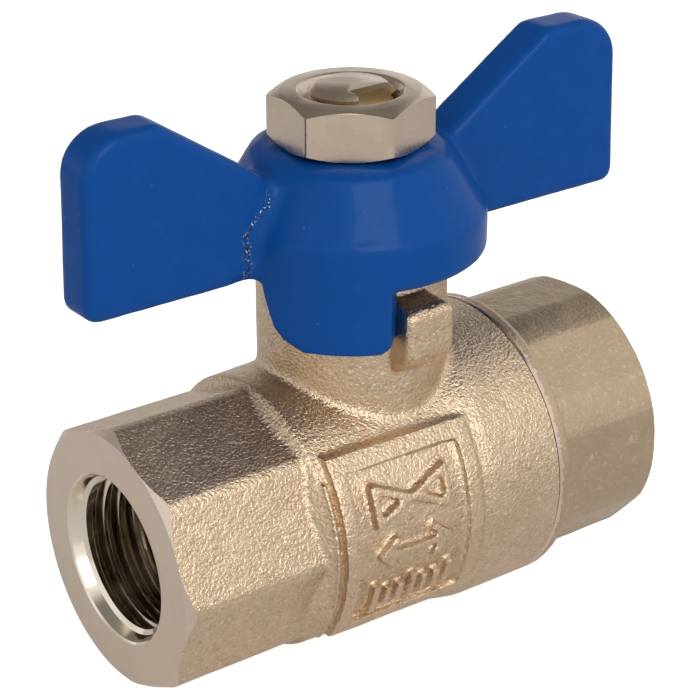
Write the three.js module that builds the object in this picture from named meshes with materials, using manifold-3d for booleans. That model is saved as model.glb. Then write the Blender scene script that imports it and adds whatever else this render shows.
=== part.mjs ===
// Quarter-turn ball valve, two-piece body, female thread at both ends, butterfly handle.
// Millimetres, +Z up. The origin is the middle of the ball: the flow axis is X, with the cap at +X, and the
// stem axis is Z. The valve is drawn open. Round fits keep a visible gap so that no two solids touch.
import * as THREE from "three";
import { mergeVertices } from "three/addons/utils/BufferGeometryUtils.js";
import Module from "manifold-3d";

const wasm = await Module();
wasm.setup();

// ---- driving dimensions ----
const GAP = 0.3; // between a piece and the neighbour it rests on
const ROUND = 64; // sides of a large turned surface
const SMALL_ROUND = 40; // sides of a bore or a shaft
const RING_SECTION = 8; // sides of an O-ring's section

const INLET_FACE_X = -22.43;
const OUTLET_FACE_X = 23.5;
// The octagon at each end: half its across flats, the radius its corners are rounded off to, and how far its top
// corner is turned from +Z towards -Y. The cap stops where its thread is tight, so its octagon is turned.
const BODY_OCTAGON = { flatR: 10, cornerR: 10.65, turnDeg: 0 };
const CAP_OCTAGON = { flatR: 10.6, cornerR: 10.9, turnDeg: 19.5 };
const FACE_CHAMFER = 0.55;

const THREAD_R = 5.72; // pipe thread, at its crests
const MOUTH_R = 6.6; // countersink of the thread at each face
const THREAD_DEPTH = 11;
const FLOW_R = 4.5; // full bore
const THREAD_RUNOUT = 0.8;

const BARREL_START_X = -10.9; // the round barrel rises out of the octagon here
const BARREL_RAMP = 1.0;
const BARREL_INLET_R = 11.0;
const BARREL_MIDDLE_X = 2.0;
const BARREL_MIDDLE_R = 11.4;
const BARREL_CAP_X = 5.4;
const BARREL_CAP_R = 12.03;
const SEAM_X = 11.65; // the barrel's open end
const COLLAR_END_X = 13.1;
const EDGE_BREAK = 0.25;

const BALL_R = 7.4;
const CHAMBER_R = 7.9;
const SEAT_R = 6.65;
const SEAT_BACK_X = 8.0;
const SEAT_FRONT_X = 5.0;
const CHAMBER_START_X = -5.2;
const CAP_THREAD_R = 9.4;
const CAP_THREAD_START_X = 7.2;
const CAP_SEAL_THICKNESS = 1.0;
const CAP_STEP_X = CAP_THREAD_START_X - CAP_SEAL_THICKNESS - 2 * GAP;

const NECK_R = 7.43;
const NECK_TOP_Z = 22.5;
const LUG_FRONT_Y = -10.17;
const LUG_FRONT_HALF = 2.15;
const LUG_ROOT_HALF = 1.6;
const LUG_ROOT_Y = -5.9; // inside the neck
const LUG_TOP_Z = 18.1;
const LUG_TOP_RISE = 0.6; // the top climbs towards the neck
const LUG_BOTTOM_Z = 13.5;
const LUG_TOE = 0.6;
const LUG_HEEL_Z = 12.3;
const PANEL = { x0: -9.0, x1: 3.9, z0: -7.4, z1: 7.8, r: 11.65 }; // raised marking panel on the -Y side

const STEM_R = 3.5;
const STEM_BORE_R = STEM_R + GAP;
const TANG_HALF_X = 1.4;
const TANG_HALF_Y = 3.2;
const TANG_BOTTOM_Z = 5.6;
const SLOT_FLOOR_Z = TANG_BOTTOM_Z - GAP;
const COLLAR_R = 4.6;
const COLLAR_Z0 = 8.2;
const COLLAR_Z1 = 9.5;
const WASHER_Z1 = 10.5;
const RING_GROOVE_Z = 13.0;
const RING_GROOVE_HALF = 0.75;
const RING_GROOVE_R = 2.5;
const RING_R = 3.15;
const RING_WIRE_R = 0.5;
const GLAND_BORE_R = 5.2;
const PACKING_Z0 = 16.5;
const PACKING_Z1 = 19.0;
const GLAND_TOP_Z = 23.0;
const GLAND_SLOT_HALF = 0.7;
const GLAND_SLOT_DEPTH = 1.4;
const DOUBLE_D_HALF = 2.74; // from the stem axis to each flat, along Y
const DOUBLE_D_Z = 24.1;
const STEM_TOP_Z = 33.0;
const STEM_TIP_CHAMFER = 0.5;

const HUB_R = 10.42;
const RIM_Z = 20.0;
const SHOULDER_Z = 23.7;
const CROWN_R = 7.9;
const CROWN_Z = 28.0;
const HUB_FLAT_R = 6.9;
const HUB_TOP_Z = 28.8;
const SKIRT_INNER_R = 8.3;
const SKIRT_CEILING_Z = 24.4;
const TAB_BOTTOM_Z = 15.2;
const TAB_FROM_DEG = 195;
const TAB_TO_DEG = 249.5;

const WING_THICKNESS = 4.1;
const WING_ROOT_X = 7.6;
const WING_BOTTOM_Z = 20.2;
// Each wing: how far its tip reaches at the foot and at the shoulder, its top, and where the top begins.
const CAP_SIDE_WING = { tipX: 25.65, tipTopX: 25.05, topZ: 34.35, peakX: 18.6 };
const INLET_SIDE_WING = { tipX: 24.5, tipTopX: 23.9, topZ: 33.85, peakX: 18.1 };
const WING_SLOPE = 0.66; // rise over run of the edge that climbs from the hub
const WING_FOOT_RADIUS = 1.3;
const WING_SHOULDER_RADIUS = 3.6;
const WING_CREST_RADIUS = 0.7;

const NUT_ACROSS_FLATS = 11.13;
const NUT_HEIGHT = 3.5;
const NUT_YAW_DEG = -38;
const NUT_CHAMFER = 0.55;

// ---- helpers ----
const radians = THREE.MathUtils.degToRad;

function solid(geometry) {
  const plain = geometry.clone();
  plain.deleteAttribute("normal");
  plain.deleteAttribute("uv");
  const merged = mergeVertices(plain, 1e-4);
  const mesh = new wasm.Mesh({
    numProp: 3,
    vertProperties: new Float32Array(merged.attributes.position.array),
    triVerts: new Uint32Array(merged.index.array),
  });
  return new wasm.Manifold(mesh);
}

// A closed outline of [radius, height] pairs turned about Z.
function turnedZ(outline, sides = SMALL_ROUND) {
  const points = outline.map(([r, h]) => new THREE.Vector2(r, h));
  if (THREE.ShapeUtils.area(points) < 0) points.reverse();
  points.push(points[0].clone());
  const geometry = new THREE.LatheGeometry(points, sides);
  geometry.rotateX(Math.PI / 2);
  return solid(geometry);
}

// The same outline turned about X: heights run along +X.
function turnedX(outline, sides = SMALL_ROUND) {
  return turnedZ(outline, sides).rotate([0, 90, 0]);
}

// A flat outline pushed along +Z from z0 to z1.
function prismZ(shape, z0, z1, curveSegments = 6) {
  const geometry = new THREE.ExtrudeGeometry(shape, {
    depth: z1 - z0,
    bevelEnabled: false,
    curveSegments,
  });
  geometry.translate(0, 0, z0);
  return solid(geometry);
}

function block(x0, x1, y0, y1, z0, z1) {
  const geometry = new THREE.BoxGeometry(x1 - x0, y1 - y0, z1 - z0);
  geometry.translate((x0 + x1) / 2, (y0 + y1) / 2, (z0 + z1) / 2);
  return solid(geometry);
}

// A regular polygon with a corner at the start angle.
function polygon(sides, acrossFlats, startDeg = 0) {
  const cornerR = acrossFlats / 2 / Math.cos(Math.PI / sides);
  const corners = [];
  for (let i = 0; i < sides; i++) {
    const turn = radians(startDeg) + (2 * Math.PI * i) / sides;
    corners.push(
      new THREE.Vector2(cornerR * Math.cos(turn), cornerR * Math.sin(turn)),
    );
  }
  return new THREE.Shape(corners);
}

function circle(r) {
  const shape = new THREE.Shape();
  shape.absarc(0, 0, r, 0, 2 * Math.PI);
  return shape;
}

function union(solids) {
  return solids.reduce((whole, next) => whole.add(next));
}

const root = new THREE.Group();

function addNode(name, made, material) {
  const mesh = made.getMesh();
  const stride = mesh.numProp;
  const positions = new Float32Array(mesh.numVert * 3);
  for (let i = 0; i < mesh.numVert; i++) {
    positions.set(
      mesh.vertProperties.subarray(i * stride, i * stride + 3),
      i * 3,
    );
  }
  const geometry = new THREE.BufferGeometry();
  geometry.setAttribute("position", new THREE.BufferAttribute(positions, 3));
  geometry.setIndex(new THREE.BufferAttribute(mesh.triVerts, 1));
  geometry.computeVertexNormals();
  const node = new THREE.Mesh(geometry, material);
  node.name = name;
  root.add(node);
}

function finish(color, roughness, metalness) {
  return new THREE.MeshStandardMaterial({ color, roughness, metalness });
}

const platedForging = finish(0xb9a68a, 0.42, 1);
const platedTurning = finish(0xb0a194, 0.25, 1);
const chrome = finish(0xd6d8da, 0.08, 1);
const rawBrass = finish(0xc2a25a, 0.3, 1);
const blueEnamel = finish(0x114a94, 0.22, 0);
const ptfe = finish(0xeeeeea, 0.5, 0);
const nitrile = finish(0x191919, 0.7, 0);

// ---- end fittings ----
// The octagon of one end, from x0 to x1, with rounded corners and a chamfer at the open face.
function octagonEnd(octagon, x0, x1, faceAtLow) {
  const prism = prismZ(polygon(8, 2 * octagon.flatR), x0, x1)
    .rotate([0, 90, 0])
    .rotate([octagon.turnDeg, 0, 0]);
  const inner = faceAtLow ? x1 : x0;
  const face = faceAtLow ? x0 : x1;
  const chamferEnd = face + (faceAtLow ? FACE_CHAMFER : -FACE_CHAMFER);
  const limit = turnedX(
    [
      [0, inner],
      [octagon.cornerR, inner],
      [octagon.cornerR, chamferEnd],
      [octagon.flatR, face],
      [0, face],
    ],
    ROUND,
  );
  return prism.intersect(limit);
}

// The threaded mouth and the way in to the full bore: away is -1 at the inlet and +1 at the outlet.
function threadedMouth(faceX, away, boreEndX) {
  const countersinkEnd = faceX - away * (MOUTH_R - THREAD_R);
  const threadEnd = faceX - away * THREAD_DEPTH;
  return turnedX([
    [0, faceX + away],
    [MOUTH_R, faceX + away],
    [MOUTH_R, faceX],
    [THREAD_R, countersinkEnd],
    [THREAD_R, threadEnd],
    [FLOW_R, threadEnd - away * THREAD_RUNOUT],
    [FLOW_R, boreEndX],
    [0, boreEndX],
  ]);
}

// ---- valve body ----
function stopLug() {
  const plan = new THREE.Shape([
    new THREE.Vector2(-LUG_ROOT_HALF, LUG_ROOT_Y),
    new THREE.Vector2(-LUG_FRONT_HALF, LUG_FRONT_Y),
    new THREE.Vector2(LUG_FRONT_HALF, LUG_FRONT_Y),
    new THREE.Vector2(LUG_ROOT_HALF, LUG_ROOT_Y),
  ]);
  const side = new THREE.Shape([
    new THREE.Vector2(LUG_FRONT_Y, LUG_BOTTOM_Z + LUG_TOE),
    new THREE.Vector2(LUG_FRONT_Y, LUG_TOP_Z),
    new THREE.Vector2(LUG_ROOT_Y, LUG_TOP_Z + LUG_TOP_RISE),
    new THREE.Vector2(LUG_ROOT_Y, LUG_HEEL_Z),
    new THREE.Vector2(-NECK_R, LUG_HEEL_Z),
  ]);
  const profile = prismZ(side, -LUG_FRONT_HALF - 1, LUG_FRONT_HALF + 1)
    .rotate([90, 0, 0])
    .rotate([0, 0, 90]);
  return prismZ(plan, LUG_HEEL_Z - 1, LUG_TOP_Z + 1).intersect(profile);
}

function markingPanel() {
  const barrel = turnedX(
    [
      [0, PANEL.x0],
      [PANEL.r, PANEL.x0],
      [PANEL.r, PANEL.x1],
      [0, PANEL.x1],
    ],
    ROUND,
  );
  const window = block(PANEL.x0, PANEL.x1, -PANEL.r - 1, -6, PANEL.z0, PANEL.z1);
  return barrel.intersect(window);
}

function valveBody() {
  const barrel = turnedX(
    [
      [0, BARREL_START_X],
      [BODY_OCTAGON.flatR - 0.2, BARREL_START_X],
      [BARREL_INLET_R, BARREL_START_X + BARREL_RAMP],
      [BARREL_MIDDLE_R, BARREL_MIDDLE_X],
      [BARREL_CAP_R, BARREL_CAP_X],
      [BARREL_CAP_R, SEAM_X - EDGE_BREAK],
      [BARREL_CAP_R - EDGE_BREAK, SEAM_X],
      [0, SEAM_X],
    ],
    ROUND,
  );
  const neck = prismZ(circle(NECK_R), 3, NECK_TOP_Z, ROUND / 2);
  const lug = stopLug();
  const outside = union([
    octagonEnd(BODY_OCTAGON, INLET_FACE_X, BARREL_START_X + 2, true),
    barrel,
    neck,
    lug,
    lug.rotate([0, 0, 180]),
    markingPanel(),
  ]);
  const chamber = turnedX([
    [0, -SEAT_BACK_X - GAP],
    [SEAT_R + GAP, -SEAT_BACK_X - GAP],
    [SEAT_R + GAP, CHAMBER_START_X],
    [CHAMBER_R, CHAMBER_START_X],
    [CHAMBER_R, CAP_STEP_X],
    [CAP_THREAD_R + GAP, CAP_STEP_X],
    [CAP_THREAD_R + GAP, SEAM_X + 1],
    [0, SEAM_X + 1],
  ]);
  const stemWay = turnedZ([
    [0, 4],
    [COLLAR_R + GAP, 4],
    [COLLAR_R + GAP, WASHER_Z1 + GAP],
    [STEM_BORE_R, WASHER_Z1 + GAP],
    [STEM_BORE_R, PACKING_Z0 - GAP],
    [GLAND_BORE_R, PACKING_Z0 - GAP],
    [GLAND_BORE_R, NECK_TOP_Z + 1],
    [0, NECK_TOP_Z + 1],
  ]);
  return outside
    .subtract(threadedMouth(INLET_FACE_X, -1, -SEAT_BACK_X))
    .subtract(chamber)
    .subtract(stemWay);
}

// ---- end cap: screwed into the barrel, it closes the chamber ----
function endCap() {
  const turned = turnedX(
    [
      [0, CAP_THREAD_START_X],
      [CAP_THREAD_R - EDGE_BREAK, CAP_THREAD_START_X],
      [CAP_THREAD_R, CAP_THREAD_START_X + EDGE_BREAK],
      [CAP_THREAD_R, SEAM_X + GAP],
      [BARREL_CAP_R - EDGE_BREAK, SEAM_X + GAP],
      [BARREL_CAP_R, SEAM_X + GAP + EDGE_BREAK],
      [BARREL_CAP_R, COLLAR_END_X],
      [0, COLLAR_END_X],
    ],
    ROUND,
  );
  const seatPocket = turnedX([
    [0, CAP_THREAD_START_X - 1],
    [SEAT_R + GAP, CAP_THREAD_START_X - 1],
    [SEAT_R + GAP, SEAT_BACK_X + GAP],
    [0, SEAT_BACK_X + GAP],
  ]);
  return turned
    .add(octagonEnd(CAP_OCTAGON, COLLAR_END_X - 1, OUTLET_FACE_X, false))
    .subtract(threadedMouth(OUTLET_FACE_X, 1, SEAT_BACK_X))
    .subtract(seatPocket);
}

// ---- ball, with its bore along X and the stem's slot across it ----
function ball() {
  const sphere = solid(new THREE.SphereGeometry(BALL_R, SMALL_ROUND, SMALL_ROUND / 2));
  const bore = turnedX([
    [0, -BALL_R - 1],
    [FLOW_R, -BALL_R - 1],
    [FLOW_R, BALL_R + 1],
    [0, BALL_R + 1],
  ]);
  const slotHalf = TANG_HALF_X + GAP;
  const slot = block(-slotHalf, slotHalf, -BALL_R, BALL_R, SLOT_FLOOR_Z, BALL_R + 1);
  return sphere.subtract(bore).subtract(slot);
}

// A seat ring: a square-shouldered ring with a face turned to the ball's own curve.
function seatRing(side) {
  const faceR = BALL_R + GAP;
  const curve = [];
  const steps = 5;
  const from = Math.asin(FLOW_R / faceR);
  const to = Math.acos(SEAT_FRONT_X / faceR);
  for (let i = 0; i <= steps; i++) {
    const turn = from + ((to - from) * i) / steps;
    curve.push([faceR * Math.sin(turn), side * faceR * Math.cos(turn)]);
  }
  return turnedX([
    ...curve,
    [SEAT_R, side * SEAT_FRONT_X],
    [SEAT_R, side * SEAT_BACK_X],
    [FLOW_R, side * SEAT_BACK_X],
  ]);
}

function flatRingX(innerR, outerR, x0, x1) {
  return turnedX([
    [innerR, x0],
    [outerR, x0],
    [outerR, x1],
    [innerR, x1],
  ]);
}

function flatRingZ(innerR, outerR, z0, z1) {
  return turnedZ([
    [innerR, z0],
    [outerR, z0],
    [outerR, z1],
    [innerR, z1],
  ]);
}

// ---- stem and its packing ----
function stem() {
  const shaft = turnedZ([
    [0, COLLAR_Z0],
    [COLLAR_R, COLLAR_Z0],
    [COLLAR_R, COLLAR_Z1],
    [STEM_R, COLLAR_Z1],
    [STEM_R, RING_GROOVE_Z - RING_GROOVE_HALF],
    [RING_GROOVE_R, RING_GROOVE_Z - RING_GROOVE_HALF],
    [RING_GROOVE_R, RING_GROOVE_Z + RING_GROOVE_HALF],
    [STEM_R, RING_GROOVE_Z + RING_GROOVE_HALF],
    [STEM_R, STEM_TOP_Z - STEM_TIP_CHAMFER],
    [STEM_R - STEM_TIP_CHAMFER, STEM_TOP_Z],
    [0, STEM_TOP_Z],
  ]);
  const beyond = STEM_R + 1;
  const flat = block(-beyond, beyond, DOUBLE_D_HALF, beyond, DOUBLE_D_Z, STEM_TOP_Z + 1);
  const tangRound = prismZ(circle(TANG_HALF_Y), TANG_BOTTOM_Z, COLLAR_Z0 + 0.5, SMALL_ROUND / 2);
  const tangSlab = block(-TANG_HALF_X, TANG_HALF_X, -5, 5, TANG_BOTTOM_Z, COLLAR_Z0 + 0.5);
  return shaft
    .subtract(flat)
    .subtract(flat.rotate([0, 0, 180]))
    .add(tangRound.intersect(tangSlab));
}

function oRing() {
  const section = [];
  for (let i = 0; i < RING_SECTION; i++) {
    const turn = (2 * Math.PI * i) / RING_SECTION;
    section.push([
      RING_R + RING_WIRE_R * Math.cos(turn),
      RING_GROOVE_Z + RING_WIRE_R * Math.sin(turn),
    ]);
  }
  return turnedZ(section);
}

function glandNut() {
  const ring = flatRingZ(STEM_BORE_R, GLAND_BORE_R - GAP, PACKING_Z1 + GAP, GLAND_TOP_Z);
  const slot = block(
    -GLAND_SLOT_HALF,
    GLAND_SLOT_HALF,
    -GLAND_BORE_R,
    GLAND_BORE_R,
    GLAND_TOP_Z - GLAND_SLOT_DEPTH,
    GLAND_TOP_Z + 1,
  );
  return ring.subtract(slot);
}

// ---- handle ----
// One wing, reaching towards +X.
function wing({ tipX, tipTopX, topZ, peakX }) {
  const crestX = peakX - WING_CREST_RADIUS;
  const slopeStartX = crestX - WING_CREST_RADIUS;
  const slopeZ = (x) => topZ - (crestX - x) * WING_SLOPE;
  const outline = new THREE.Shape();
  outline.moveTo(WING_ROOT_X, WING_BOTTOM_Z);
  outline.lineTo(tipX - WING_FOOT_RADIUS, WING_BOTTOM_Z);
  outline.quadraticCurveTo(tipX, WING_BOTTOM_Z, tipX, WING_BOTTOM_Z + WING_FOOT_RADIUS);
  outline.lineTo(tipTopX, topZ - WING_SHOULDER_RADIUS);
  outline.quadraticCurveTo(tipTopX, topZ, tipTopX - WING_SHOULDER_RADIUS, topZ);
  outline.lineTo(peakX, topZ);
  outline.quadraticCurveTo(crestX, topZ, slopeStartX, slopeZ(slopeStartX));
  outline.lineTo(WING_ROOT_X, slopeZ(WING_ROOT_X));
  return prismZ(outline, -WING_THICKNESS / 2, WING_THICKNESS / 2).rotate([90, 0, 0]);
}

// One of the two skirt tabs that meet the stop lugs.
function stopTab() {
  const ring = flatRingZ(SKIRT_INNER_R, HUB_R, TAB_BOTTOM_Z, RIM_Z + 0.5);
  const reach = 20;
  const sector = new THREE.Shape();
  sector.moveTo(0, 0);
  for (const deg of [TAB_FROM_DEG, (TAB_FROM_DEG + TAB_TO_DEG) / 2, TAB_TO_DEG]) {
    sector.lineTo(reach * Math.cos(radians(deg)), reach * Math.sin(radians(deg)));
  }
  return ring.intersect(prismZ(sector, TAB_BOTTOM_Z - 1, RIM_Z + 1));
}

// The double-D hole that the stem drives.
function doubleDHole() {
  const round = prismZ(circle(STEM_R + GAP), SKIRT_CEILING_Z - 1, HUB_TOP_Z + 1, SMALL_ROUND / 2);
  const between = DOUBLE_D_HALF + GAP;
  return round.intersect(block(-10, 10, -between, between, SKIRT_CEILING_Z - 1, HUB_TOP_Z + 1));
}

function handle() {
  const hub = turnedZ(
    [
      [0, RIM_Z],
      [HUB_R, RIM_Z],
      [HUB_R, SHOULDER_Z],
      [CROWN_R, CROWN_Z],
      [HUB_FLAT_R, HUB_TOP_Z],
      [0, HUB_TOP_Z],
    ],
    ROUND,
  );
  const capSideWing = wing(CAP_SIDE_WING);
  const inletSideWing = wing(INLET_SIDE_WING).rotate([0, 0, 180]);
  const tab = stopTab();
  const cavity = turnedZ([
    [0, TAB_BOTTOM_Z - 1],
    [SKIRT_INNER_R, TAB_BOTTOM_Z - 1],
    [SKIRT_INNER_R, SKIRT_CEILING_Z],
    [0, SKIRT_CEILING_Z],
  ]);
  return union([hub, capSideWing, inletSideWing, tab, tab.rotate([0, 0, 180])])
    .subtract(cavity)
    .subtract(doubleDHole());
}

function handleNut() {
  const z0 = HUB_TOP_Z + GAP;
  const z1 = z0 + NUT_HEIGHT;
  const cornerR = NUT_ACROSS_FLATS / 2 / Math.cos(Math.PI / 6);
  const rounded = turnedZ([
    [0, z0],
    [cornerR - 2 * NUT_CHAMFER, z0],
    [cornerR, z0 + NUT_CHAMFER],
    [cornerR, z1 - NUT_CHAMFER],
    [cornerR - 2 * NUT_CHAMFER, z1],
    [0, z1],
  ]);
  const bore = turnedZ([
    [0, z0 - 1],
    [STEM_R + GAP, z0 - 1],
    [STEM_R + GAP, z1 + 1],
    [0, z1 + 1],
  ]);
  return prismZ(polygon(6, NUT_ACROSS_FLATS), z0, z1)
    .rotate([0, 0, NUT_YAW_DEG - 30])
    .intersect(rounded)
    .subtract(bore);
}

// ---- the assembly ----
addNode("valve_body", valveBody(), platedForging);
addNode("end_cap", endCap(), platedForging);
addNode(
  "cap_seal",
  flatRingX(CHAMBER_R + GAP, CAP_THREAD_R, CAP_STEP_X + GAP, CAP_THREAD_START_X - GAP),
  ptfe,
);
addNode("ball", ball(), chrome);
addNode("inlet_seat_ring", seatRing(-1), ptfe);
addNode("outlet_seat_ring", seatRing(1), ptfe);
addNode("stem", stem(), platedTurning);
addNode("stem_thrust_washer", flatRingZ(STEM_BORE_R, COLLAR_R, COLLAR_Z1 + GAP, WASHER_Z1), ptfe);
addNode("stem_o_ring", oRing(), nitrile);
addNode("stem_packing_ring", flatRingZ(STEM_BORE_R, GLAND_BORE_R - GAP, PACKING_Z0, PACKING_Z1), ptfe);
addNode("gland_nut", glandNut(), rawBrass);
addNode("butterfly_handle", handle(), blueEnamel);
addNode("handle_nut", handleNut(), platedTurning);

export default root;
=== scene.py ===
"""Visual model of a two-piece quarter-turn ball valve with a butterfly handle.

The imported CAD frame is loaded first. Every piece is then modelled in the same frame and rides on its body:
the flow axis is X with the screwed-in cap at +X, the stem axis is Z,
and the middle of the ball is the origin.
Sizes are in millimetres until a mesh is made; meshes are in metres.
"""

import logging
import math
from contextlib import contextmanager
from dataclasses import dataclass
from enum import Enum
from functools import cache
from typing import Any, Callable, Iterator, Sequence

import bpy
from mathutils import Matrix, Vector

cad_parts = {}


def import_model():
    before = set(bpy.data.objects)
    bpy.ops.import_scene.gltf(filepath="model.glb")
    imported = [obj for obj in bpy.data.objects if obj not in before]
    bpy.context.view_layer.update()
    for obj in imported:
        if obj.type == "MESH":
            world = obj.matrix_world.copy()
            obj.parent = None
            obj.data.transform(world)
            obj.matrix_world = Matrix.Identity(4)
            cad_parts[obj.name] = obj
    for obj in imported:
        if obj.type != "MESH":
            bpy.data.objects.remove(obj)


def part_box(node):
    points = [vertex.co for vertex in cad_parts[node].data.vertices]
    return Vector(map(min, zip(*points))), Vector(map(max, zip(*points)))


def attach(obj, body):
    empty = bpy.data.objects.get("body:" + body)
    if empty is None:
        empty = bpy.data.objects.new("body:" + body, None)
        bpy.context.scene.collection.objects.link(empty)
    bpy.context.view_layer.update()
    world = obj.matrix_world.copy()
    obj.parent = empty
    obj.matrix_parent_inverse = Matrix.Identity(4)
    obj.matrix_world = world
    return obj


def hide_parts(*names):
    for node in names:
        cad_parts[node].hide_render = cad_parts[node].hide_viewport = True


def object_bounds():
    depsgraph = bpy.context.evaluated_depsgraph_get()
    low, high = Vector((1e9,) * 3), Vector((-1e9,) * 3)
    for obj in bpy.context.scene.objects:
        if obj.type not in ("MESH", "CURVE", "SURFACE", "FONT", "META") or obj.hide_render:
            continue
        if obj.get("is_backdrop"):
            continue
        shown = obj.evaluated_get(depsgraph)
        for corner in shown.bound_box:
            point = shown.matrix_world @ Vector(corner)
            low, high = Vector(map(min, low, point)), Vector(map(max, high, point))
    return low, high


MM = 0.001
WELD = 0.0015 * MM  # vertices closer than this are one vertex
ROUND_STEPS = 128  # sides of a large turned surface
FINE_STEPS = 96  # sides of a bore, a shaft or a thread
FULL_TURN = 2 * math.pi

Point = tuple[float, float]
Outline = Sequence[Point]
Where = Callable[[Vector], float]
Colour = tuple[float, float, float, float]

log = logging.getLogger("ball_valve")


class Axis(Enum):
    """The two axes that pieces are turned about."""

    FLOW = "X"
    STEM = "Z"

    @property
    def direction(self) -> Vector:
        """The axis as a unit vector."""
        return Vector((1, 0, 0)) if self is Axis.FLOW else Vector((0, 0, 1))

    def place(self, radius: float, along: float) -> Vector:
        """A point of a turned outline, in metres."""
        if self is Axis.FLOW:
            return Vector((along, 0, radius)) * MM
        return Vector((radius, 0, along)) * MM


class Plane(Enum):
    """The plane that a flat outline is drawn in, and the way it is pushed."""

    FRONT = "XZ, pushed along Y"
    PLAN = "XY, pushed along Z"
    SIDE = "YZ, pushed along X"

    def place(self, u: float, v: float, depth: float) -> Vector:
        """A point of the outline at a depth, in metres."""
        if self is Plane.FRONT:
            return Vector((u, depth, v)) * MM
        if self is Plane.PLAN:
            return Vector((u, v, depth)) * MM
        return Vector((depth, u, v)) * MM


class Join(Enum):
    """How one solid is combined with another."""

    ADD = "UNION"
    CUT = "DIFFERENCE"
    KEEP_COMMON = "INTERSECT"


class Body(Enum):
    """The bodies of the frame that pieces ride on."""

    VALVE = "valve"
    HANDLE = "handle_and_stem"
    BALL = "ball"


# ---- mesh making ----


def deselect_all() -> None:
    """Leaves nothing selected, in object mode."""
    if bpy.context.mode != "OBJECT":
        bpy.ops.object.mode_set(mode="OBJECT")
    bpy.ops.object.select_all(action="DESELECT")


def activate(piece: bpy.types.Object) -> None:
    """Makes the piece the only selected object and the active one."""
    deselect_all()
    piece.select_set(True)
    bpy.context.view_layer.objects.active = piece


@contextmanager
def editing(piece: bpy.types.Object) -> Iterator[None]:
    """Edit mode on one piece, with everything in it selected, and object mode again afterwards."""
    activate(piece)
    bpy.ops.object.mode_set(mode="EDIT")
    bpy.ops.mesh.select_all(action="SELECT")
    yield
    bpy.ops.object.mode_set(mode="OBJECT")


def close_shell() -> None:
    """Welds doubled vertices of the mesh being edited and turns its faces outwards."""
    bpy.ops.mesh.select_all(action="SELECT")
    bpy.ops.mesh.remove_doubles(threshold=WELD)
    bpy.ops.mesh.normals_make_consistent(inside=False)


def profile_line(name: str, points: Sequence[Vector]) -> bpy.types.Object:
    """A chain of edges, from one vertex extruded from point to point.

    Args:
        name: The object's name.
        points: The chain's corners, in metres.

    Returns:
        The new object.
    """
    deselect_all()
    bpy.ops.mesh.primitive_plane_add(size=MM, enter_editmode=True)
    piece = bpy.context.object
    piece.name = name
    bpy.ops.mesh.merge(type="CENTER")
    bpy.ops.transform.translate(value=points[0])
    for here, there in zip(points, points[1:]):
        bpy.ops.mesh.extrude_region_move(TRANSFORM_OT_translate={"value": there - here})
    bpy.ops.object.mode_set(mode="OBJECT")
    return piece


def turned(name: str, outline: Outline, axis: Axis, steps: int = ROUND_STEPS) -> bpy.types.Object:
    """An outline of (radius, distance along the axis) spun into a solid.

    Args:
        name: The object's name.
        outline: Corners in millimetres. An outline that doesn't start on the axis is closed into a ring.
        axis: The axis to spin about.
        steps: Sides of the full turn.

    Returns:
        The closed solid.
    """
    points = [axis.place(radius, along) for radius, along in outline]
    if outline[0][0] > 0:
        points.append(points[0])
    piece = profile_line(name, points)
    with editing(piece):
        bpy.ops.mesh.spin(steps=steps, angle=FULL_TURN, center=(0, 0, 0), axis=axis.direction)
        close_shell()
    return piece


def pushed(name: str, outline: Outline, plane: Plane, start: float, end: float) -> bpy.types.Object:
    """A flat outline pushed into a solid.

    Args:
        name: The object's name.
        outline: Corners in millimetres, in the plane.
        plane: The plane of the outline.
        start: Depth of the first face.
        end: Depth of the second face.

    Returns:
        The closed solid.
    """
    points = [plane.place(u, v, start) for u, v in outline]
    piece = profile_line(name, [*points, points[0]])
    with editing(piece):
        bpy.ops.mesh.remove_doubles(threshold=WELD)
        bpy.ops.mesh.edge_face_add()
        push = plane.place(0, 0, end - start)
        bpy.ops.mesh.extrude_region_move(TRANSFORM_OT_translate={"value": push})
        close_shell()
    return piece


def box(name: str, low: Sequence[float], high: Sequence[float]) -> bpy.types.Object:
    """A block between two corners in millimetres, for a tool or the start of a piece."""
    outline = [(low[0], low[1]), (high[0], low[1]), (high[0], high[1]), (low[0], high[1])]
    return pushed(name, outline, Plane.PLAN, low[2], high[2])


def arc(centre: Point, radius: float, start: float, end: float, steps: int = 8) -> list[Point]:
    """Points along an arc, its angles in degrees."""
    turns = [math.radians(start + (end - start) * i / steps) for i in range(steps + 1)]
    return [(centre[0] + radius * math.cos(t), centre[1] + radius * math.sin(t)) for t in turns]


def screw_solid(
    name: str, axis: Axis, start: float, end: float, crest: float, root: float, pitch: float
) -> bpy.types.Object:
    """A solid right-hand screw, used as a thread's tool or as the thread itself.

    Args:
        name: The object's name.
        axis: The screw's axis.
        start: Where the first turn starts, along the axis.
        end: The thread reaches at least to here.
        crest: Outer radius of the ridge.
        root: Radius of the groove between two turns.
        pitch: Distance from turn to turn.

    Returns:
        The closed solid.
    """
    ridge = [(root, 0.0), (root, 0.12), (crest, 0.44), (crest, 0.62), (root, 0.94), (root, 1.0)]
    soft = (crest - root) * 0.12
    ridge.insert(4, (crest - soft, 0.67))
    ridge.insert(2, (crest - soft, 0.39))
    piece = profile_line(name, [axis.place(r, start + along * pitch) for r, along in ridge])
    turns = math.ceil((end - start) / pitch)
    apply(
        piece, "SCREW", axis=axis.value, screw_offset=pitch * MM, iterations=turns, steps=FINE_STEPS,
        render_steps=FINE_STEPS, use_smooth_shade=False,
    )
    with editing(piece):
        bpy.ops.mesh.remove_doubles(threshold=WELD)
        bpy.ops.mesh.fill_holes(sides=0)
        bpy.ops.mesh.select_all(action="DESELECT")
        bpy.ops.mesh.select_face_by_sides(number=4, type="GREATER")
        bpy.ops.mesh.poke()
        close_shell()
    return piece


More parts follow.
